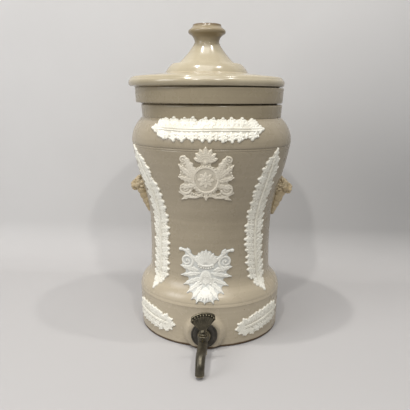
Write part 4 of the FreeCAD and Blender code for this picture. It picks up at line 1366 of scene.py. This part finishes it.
def makeReliefClay(name, light, dark, hollowTone, hollowShare):
    material, tree, shader, where, mottle = newClay(name, light, dark, 60.0, 900.0, 0.04, IOR=1.45)
    edgesAndHollows = useGroup(tree, "edgesAndHollows", where, Start=0.52, Full=0.6)
    depth = addNode(tree, "Attribute", attribute_name="depth").outputs["Fac"]
    # low parts of the ornament take a darker hollow tone: painted shade in the recesses, in the lower panel
    # also its own blue-grey tint
    hollow = mapRange(tree, depth, 0.62, 0.12)
    colour = tinted(tree, mottle["Color"], hollow, hollowShare, *hollowTone)
    # painted shade in the hollows of the ornament
    colour = tinted(tree, colour, edgesAndHollows["Hollow"], 0.4, 168, 158, 138)
    rough = uneven(tree, where, 120.0, 3, 0.5, 0.68)
    complete(tree, shader, colour, rough,
             [(noise(tree, where, 700.0, 3), 0.1, 0.35), (mottle["Grain"], 0.06, 0.3)])
    return material


def makeLugGlaze():
    material, tree, shader, where, mottle = newClay("lugGlaze", (196, 180, 148), (172, 154, 120),
                                                    70.0, 600.0, 0.05, IOR=1.5)
    edgesAndHollows = useGroup(tree, "edgesAndHollows", where, Start=0.52, Full=0.6)
    # painted shade deep in the hollows of the lion heads
    colour = tinted(tree, mottle["Color"], edgesAndHollows["Hollow"], 0.8, 92, 74, 46)
    colour = tinted(tree, colour, edgesAndHollows["Mask"], 0.5, 200, 188, 158)
    rough = uneven(tree, where, 90.0, 3, 0.2, 0.34)
    complete(tree, shader, colour, rough, [(noise(tree, where, 400.0, 2), 0.1, 0.3)])
    return material


def makeOldBrass(name, light, dark, worn, metallic, ribbed=False):
    material, tree, shader, where, mottle = newClay(name, light, dark, 150.0, 1600.0, 0.08,
                                                    Metallic=metallic)
    edgesAndHollows = useGroup(tree, "edgesAndHollows", where, Start=0.515, Full=0.58, Break_Scale=420.0)
    colour = tinted(tree, mottle["Color"], edgesAndHollows["Mask"], 1, *worn)
    colour = tinted(tree, colour, edgesAndHollows["Hollow"], 0.85, 30, 27, 20)
    if ribbed:
        # painted shade in the thin flutes and the band of the key, and a painted highlight on its thick
        # beads and foot
        front = tapShape["axis"] * mm
        turned = addNode(tree, "VectorRotate", {
            "Center": (0, -front, 0), "Angle": -math.radians(tapShape["keyTurn"]), "Vector": where,
        }, rotation_type="Z_AXIS")
        parts = addNode(tree, "SeparateXYZ", {0: turned.outputs[0]}).outputs
        thick = maths(tree, "ABSOLUTE", maths(tree, "ADD", parts["Y"], front))
        above = mapRange(tree, parts["Z"], 0.0445, 0.046)
        low = maths(tree, "MULTIPLY", mapRange(tree, thick, 0.00085, 0.0006), above)
        high = maths(tree, "MULTIPLY", mapRange(tree, thick, 0.0012, 0.00128), above)
        # painted shade in the flutes and band
        colour = tinted(tree, colour, low, 0.75, 36, 33, 26)
        # painted highlight on the beads and foot
        colour = tinted(tree, colour, high, 1, 214, 204, 172)
    rough = uneven(tree, where, 220.0, 4, 0.3, 0.5)
    complete(tree, shader, colour, mixNumber(tree, edgesAndHollows["Mask"], rough, 0.2),
             [(noise(tree, where, 500.0, 4), 0.12, 0.35), (mottle["Grain"], 0.03, 0.3)])
    return material


def makePlainFinish(name, light, dark, patch, grainScale, roughness, depth):
    material, tree, shader, where, mottle = newClay(name, light, dark, patch, grainScale, 0.14)
    rough = mapRange(tree, mottle["Grain"], 0.3, 0.7, *roughness)
    complete(tree, shader, mottle["Color"], rough, [(mottle["Grain"], depth, 0.5)])
    return material


finishes = {
    "stoneware": makeStoneware(),
    "lid": makeLidGlaze(),
    "relief": makeReliefClay("reliefClay", (236, 234, 223), (227, 224, 211), (172, 163, 142), 0.65),
    "upperRelief": makeReliefClay("reliefClayGrey", (226, 219, 203), (214, 206, 188), (146, 136, 114), 0.75),
    "lowerRelief": makeReliefClay("reliefClayBlue", (227, 226, 217), (215, 213, 204), (136, 146, 152), 0.7),
    "lug": makeLugGlaze(),
    "brass": makeOldBrass("oldBrass", (98, 93, 80), (73, 69, 59), (178, 164, 130), 0.85),
    "key": makeOldBrass("keyBrass", (104, 98, 83), (76, 72, 61), (178, 166, 134), 0.85, True),
    "flange": makeOldBrass("greyBrass", (88, 84, 77), (67, 64, 58), (124, 118, 107), 0.6),
    "plainClay": makePlainFinish("plainClay", (196, 184, 160), (176, 162, 136), 40.0, 900.0, (0.7, 0.9),
                                 0.15),
    "carbon": makePlainFinish("carbon", (42, 41, 40), (20, 20, 20), 120.0, 1400.0, (0.6, 0.9), 0.4),
    "rubber": makePlainFinish("washerRubber", (46, 43, 40), (28, 26, 25), 200.0, 1500.0, (0.5, 0.7), 0.05),
}
print("materials made")


# ---- making the pieces ----

def dress(piece, finish):
    piece.data.materials.clear()
    piece.data.materials.append(finishes[finish])


def place(piece, body, slot, finish, *replaced):
    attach(piece, body)
    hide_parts(*replaced)
    dress(piece, finish)


place(makeJar(), "base", "stoneware", "stoneware", "jar", "jar_base")
print("jar made")
place(makePierced("filterPot", potShape), "filter", "stoneware", "stoneware", "filter_pot")
place(makePierced("strainerPlate", strainerShape), "strainer", "plain_clay", "plainClay", "strainer_plate")
place(makeLid(), "lid", "lid_glaze", "lid", "lid")
print("pot, strainer and lid made")
place(makeTopGarland(), "base", "relief_clay", "relief", "garland_top")
for side, word in ((-1, "left"), (1, "right")):
    place(makeSideGarland(side), "base", "relief_clay", "relief", "garland_" + word)
    place(makeSpray(side), "base", "relief_clay", "relief", "leaf_spray_" + word)
place(makeUpperPanel(), "base", "relief_clay", "upperRelief", "panel_upper")
place(makeLowerPanel(), "base", "relief_clay", "lowerRelief", "panel_lower")
print("ornament made")
for side, word in ((-1, "left"), (1, "right")):
    place(makeLug(side), "base", "lug_clay", "lug", "lug_" + word)
print("lugs made")
place(makeTapBody(), "base", "old_brass", "brass", "tap_body")
place(makeFlange(), "base", "old_brass", "flange", "tap_flange")
place(makePlug(), "plug", "old_brass", "key", "tap_plug")
print("tap made")
for nodeName, finish in (("carbon_block", "carbon"), ("tap_backnut", "brass"), ("plug_washer", "brass"),
                         ("plug_nut", "brass"), ("tap_outer_washer", "rubber"),
                         ("tap_inner_washer", "rubber")):
    dress(nodes[nodeName], finish)


# ---- room, lamps and camera ----

roomShape = {
    # the backdrop's tone and the level floor's
    "floorTone": (196, 195, 194),
    "levelTone": (175, 173, 172),
    # a painted shadow of the jar on the backdrop, to its right, by its centre and reach
    "paintedShadowPlace": (0.38, 0.23, 0.17),
    "paintedShadowReach": 0.36,
    "paintedShadowCore": 0.05,
    "paintedShadowTone": (138, 138, 138),
    "paintedShadowShare": 0.55,
    "cloudTone": (150, 148, 145),
    "cloudShare": 0.06,
    "backDistance": 0.15,
    "sweep": 0.08,
    "tall": 0.9,
    "halfWidth": 0.9,
    "depth": 0.95,
    "worldTone": (0.91, 0.91, 0.92, 1),
    "worldStrength": 0.27,
}


def makePaleFloor():
    shape = roomShape
    material, tree, shader, where = newMaterial("paleFloor")
    cloudy = mapRange(tree, noise(tree, where, 6.0, 4), 0.35, 0.65, 0.0, shape["cloudShare"])
    colour = tinted(tree, tone(*shape["floorTone"]), cloudy, 1, *shape["cloudTone"])
    # painted shadow of the jar on the backdrop, to its right
    away = addNode(tree, "VectorMath", {0: where, 1: shape["paintedShadowPlace"]}, operation="DISTANCE")
    paintedShadow = mapRange(tree, away.outputs["Value"], shape["paintedShadowReach"], shape["paintedShadowCore"], 0.0, shape["paintedShadowShare"])
    colour = tinted(tree, colour, paintedShadow, 1, *shape["paintedShadowTone"])
    level = mapRange(tree, heightOf(tree, where), shape["sweep"], 0.01)
    colour = tinted(tree, colour, level, 1, *shape["levelTone"])
    complete(tree, shader, colour, 0.75, [(noise(tree, where, 900.0, 2), 0.1, 0.15)])
    # the backdrop is seen from its front only, so the back of the jar can be looked at
    facing = addNode(tree, "NewGeometry").outputs["Backfacing"]
    clear = addNode(tree, "BsdfTransparent").outputs[0]
    choice = addNode(tree, "MixShader", {0: facing, 1: shader.outputs[0], 2: clear})
    tree.links.new(choice.outputs[0], tree.nodes["Material Output"].inputs["Surface"])
    return material


def makeRoom():
    shape = roomShape
    floor = newPiece("floor", "plane", size=1, location=(0, 0, 0))
    openEdit(floor)
    bpy.ops.transform.resize(value=(shape["halfWidth"] * 2, shape["depth"], 1))
    bpy.ops.transform.translate(value=(0, shape["backDistance"] - shape["depth"] / 2, 0))
    bpy.ops.mesh.select_mode(type="EDGE")
    bpy.ops.mesh.select_all(action="DESELECT")
    closeEdit()
    back = shape["backDistance"]
    for edge in floor.data.edges:
        ends = [floor.data.vertices[index].co.y for index in edge.vertices]
        edge.select = min(ends) > back - 0.01
    bpy.ops.object.mode_set(mode="EDIT")
    sweep = shape["sweep"]
    bpy.ops.mesh.spin(steps=24, angle=-math.pi / 2, center=(0, back, sweep), axis=(1, 0, 0))
    pull(0, 0, shape["tall"])
    closeEdit()
    smoothed(floor, 60)
    floor.data.materials.append(makePaleFloor())
    world = bpy.data.worlds.new("studio")
    bpy.context.scene.world = world
    world.use_nodes = True
    sky = world.node_tree.nodes["Background"]
    sky.inputs["Color"].default_value = shape["worldTone"]
    sky.inputs["Strength"].default_value = shape["worldStrength"]


lampTarget = (0, 0, 0.2)
# place, size, power and colour of each lamp
lamps = {
    "windowLamp": ((-1.3, -0.85, 0.95), 0.8, 10.5, (0.99, 0.99, 1.0)),
    "ceilingLamp": ((-0.1, -0.7, 2.1), 1.1, 14, (1.0, 0.99, 0.98)),
    "leftHigh": ((-0.44, -0.26, 1.8), 0.06, 7.4, (1.0, 0.98, 0.95)),
    "rightHigh": ((0.6, -0.2, 1.8), 0.06, 5.4, (1.0, 0.98, 0.95)),
    "rightFront": ((0.46, -1.09, 1.36), 0.06, 5.6, (1.0, 0.98, 0.95)),
    "leftFront": ((-0.26, -1.06, 1.36), 0.06, 5.6, (1.0, 0.98, 0.95)),
}


def makeLamps():
    for name, (spot, size, power, colour) in lamps.items():
        aim = (Vector(lampTarget) - Vector(spot)).to_track_quat("-Z", "Y").to_euler()
        bpy.ops.object.select_all(action="DESELECT")
        bpy.ops.object.light_add(type="AREA", location=spot, rotation=aim)
        lamp = bpy.context.active_object
        lamp.name = name
        lamp.data.energy = power
        lamp.data.size = size
        lamp.data.color = colour


cameraShape = {
    "distance": 0.695,
    "height": 0.3184,
    "aside": 3.4,
    "turn": 0.645,
    "tilt": 77.77,
    "roll": 0.53,
    "lens": 44.17,
    "sensor": 36,
    "nearest": 0.01,
}


def makeCamera():
    shape = cameraShape
    aside = math.radians(shape["aside"])
    spot = (shape["distance"] * math.sin(aside), -shape["distance"] * math.cos(aside), shape["height"])
    bpy.ops.object.select_all(action="DESELECT")
    bpy.ops.object.camera_add(location=spot)
    camera = bpy.context.active_object
    camera.name = "camera"
    camera.data.lens = shape["lens"]
    camera.data.sensor_width = shape["sensor"]
    turn = Matrix.Rotation(math.radians(shape["aside"] + shape["turn"]), 4, "Z")
    tilt = Matrix.Rotation(math.radians(shape["tilt"]), 4, "X")
    roll = Matrix.Rotation(math.radians(shape["roll"]), 4, "Z")
    camera.matrix_world = Matrix.Translation(spot) @ turn @ tilt @ roll
    camera.data.clip_start = shape["nearest"]
    bpy.context.scene.camera = camera


makeRoom()
makeLamps()
makeCamera()
bpy.context.scene.view_settings.view_transform = "Standard"
print("room, lamps and camera made")
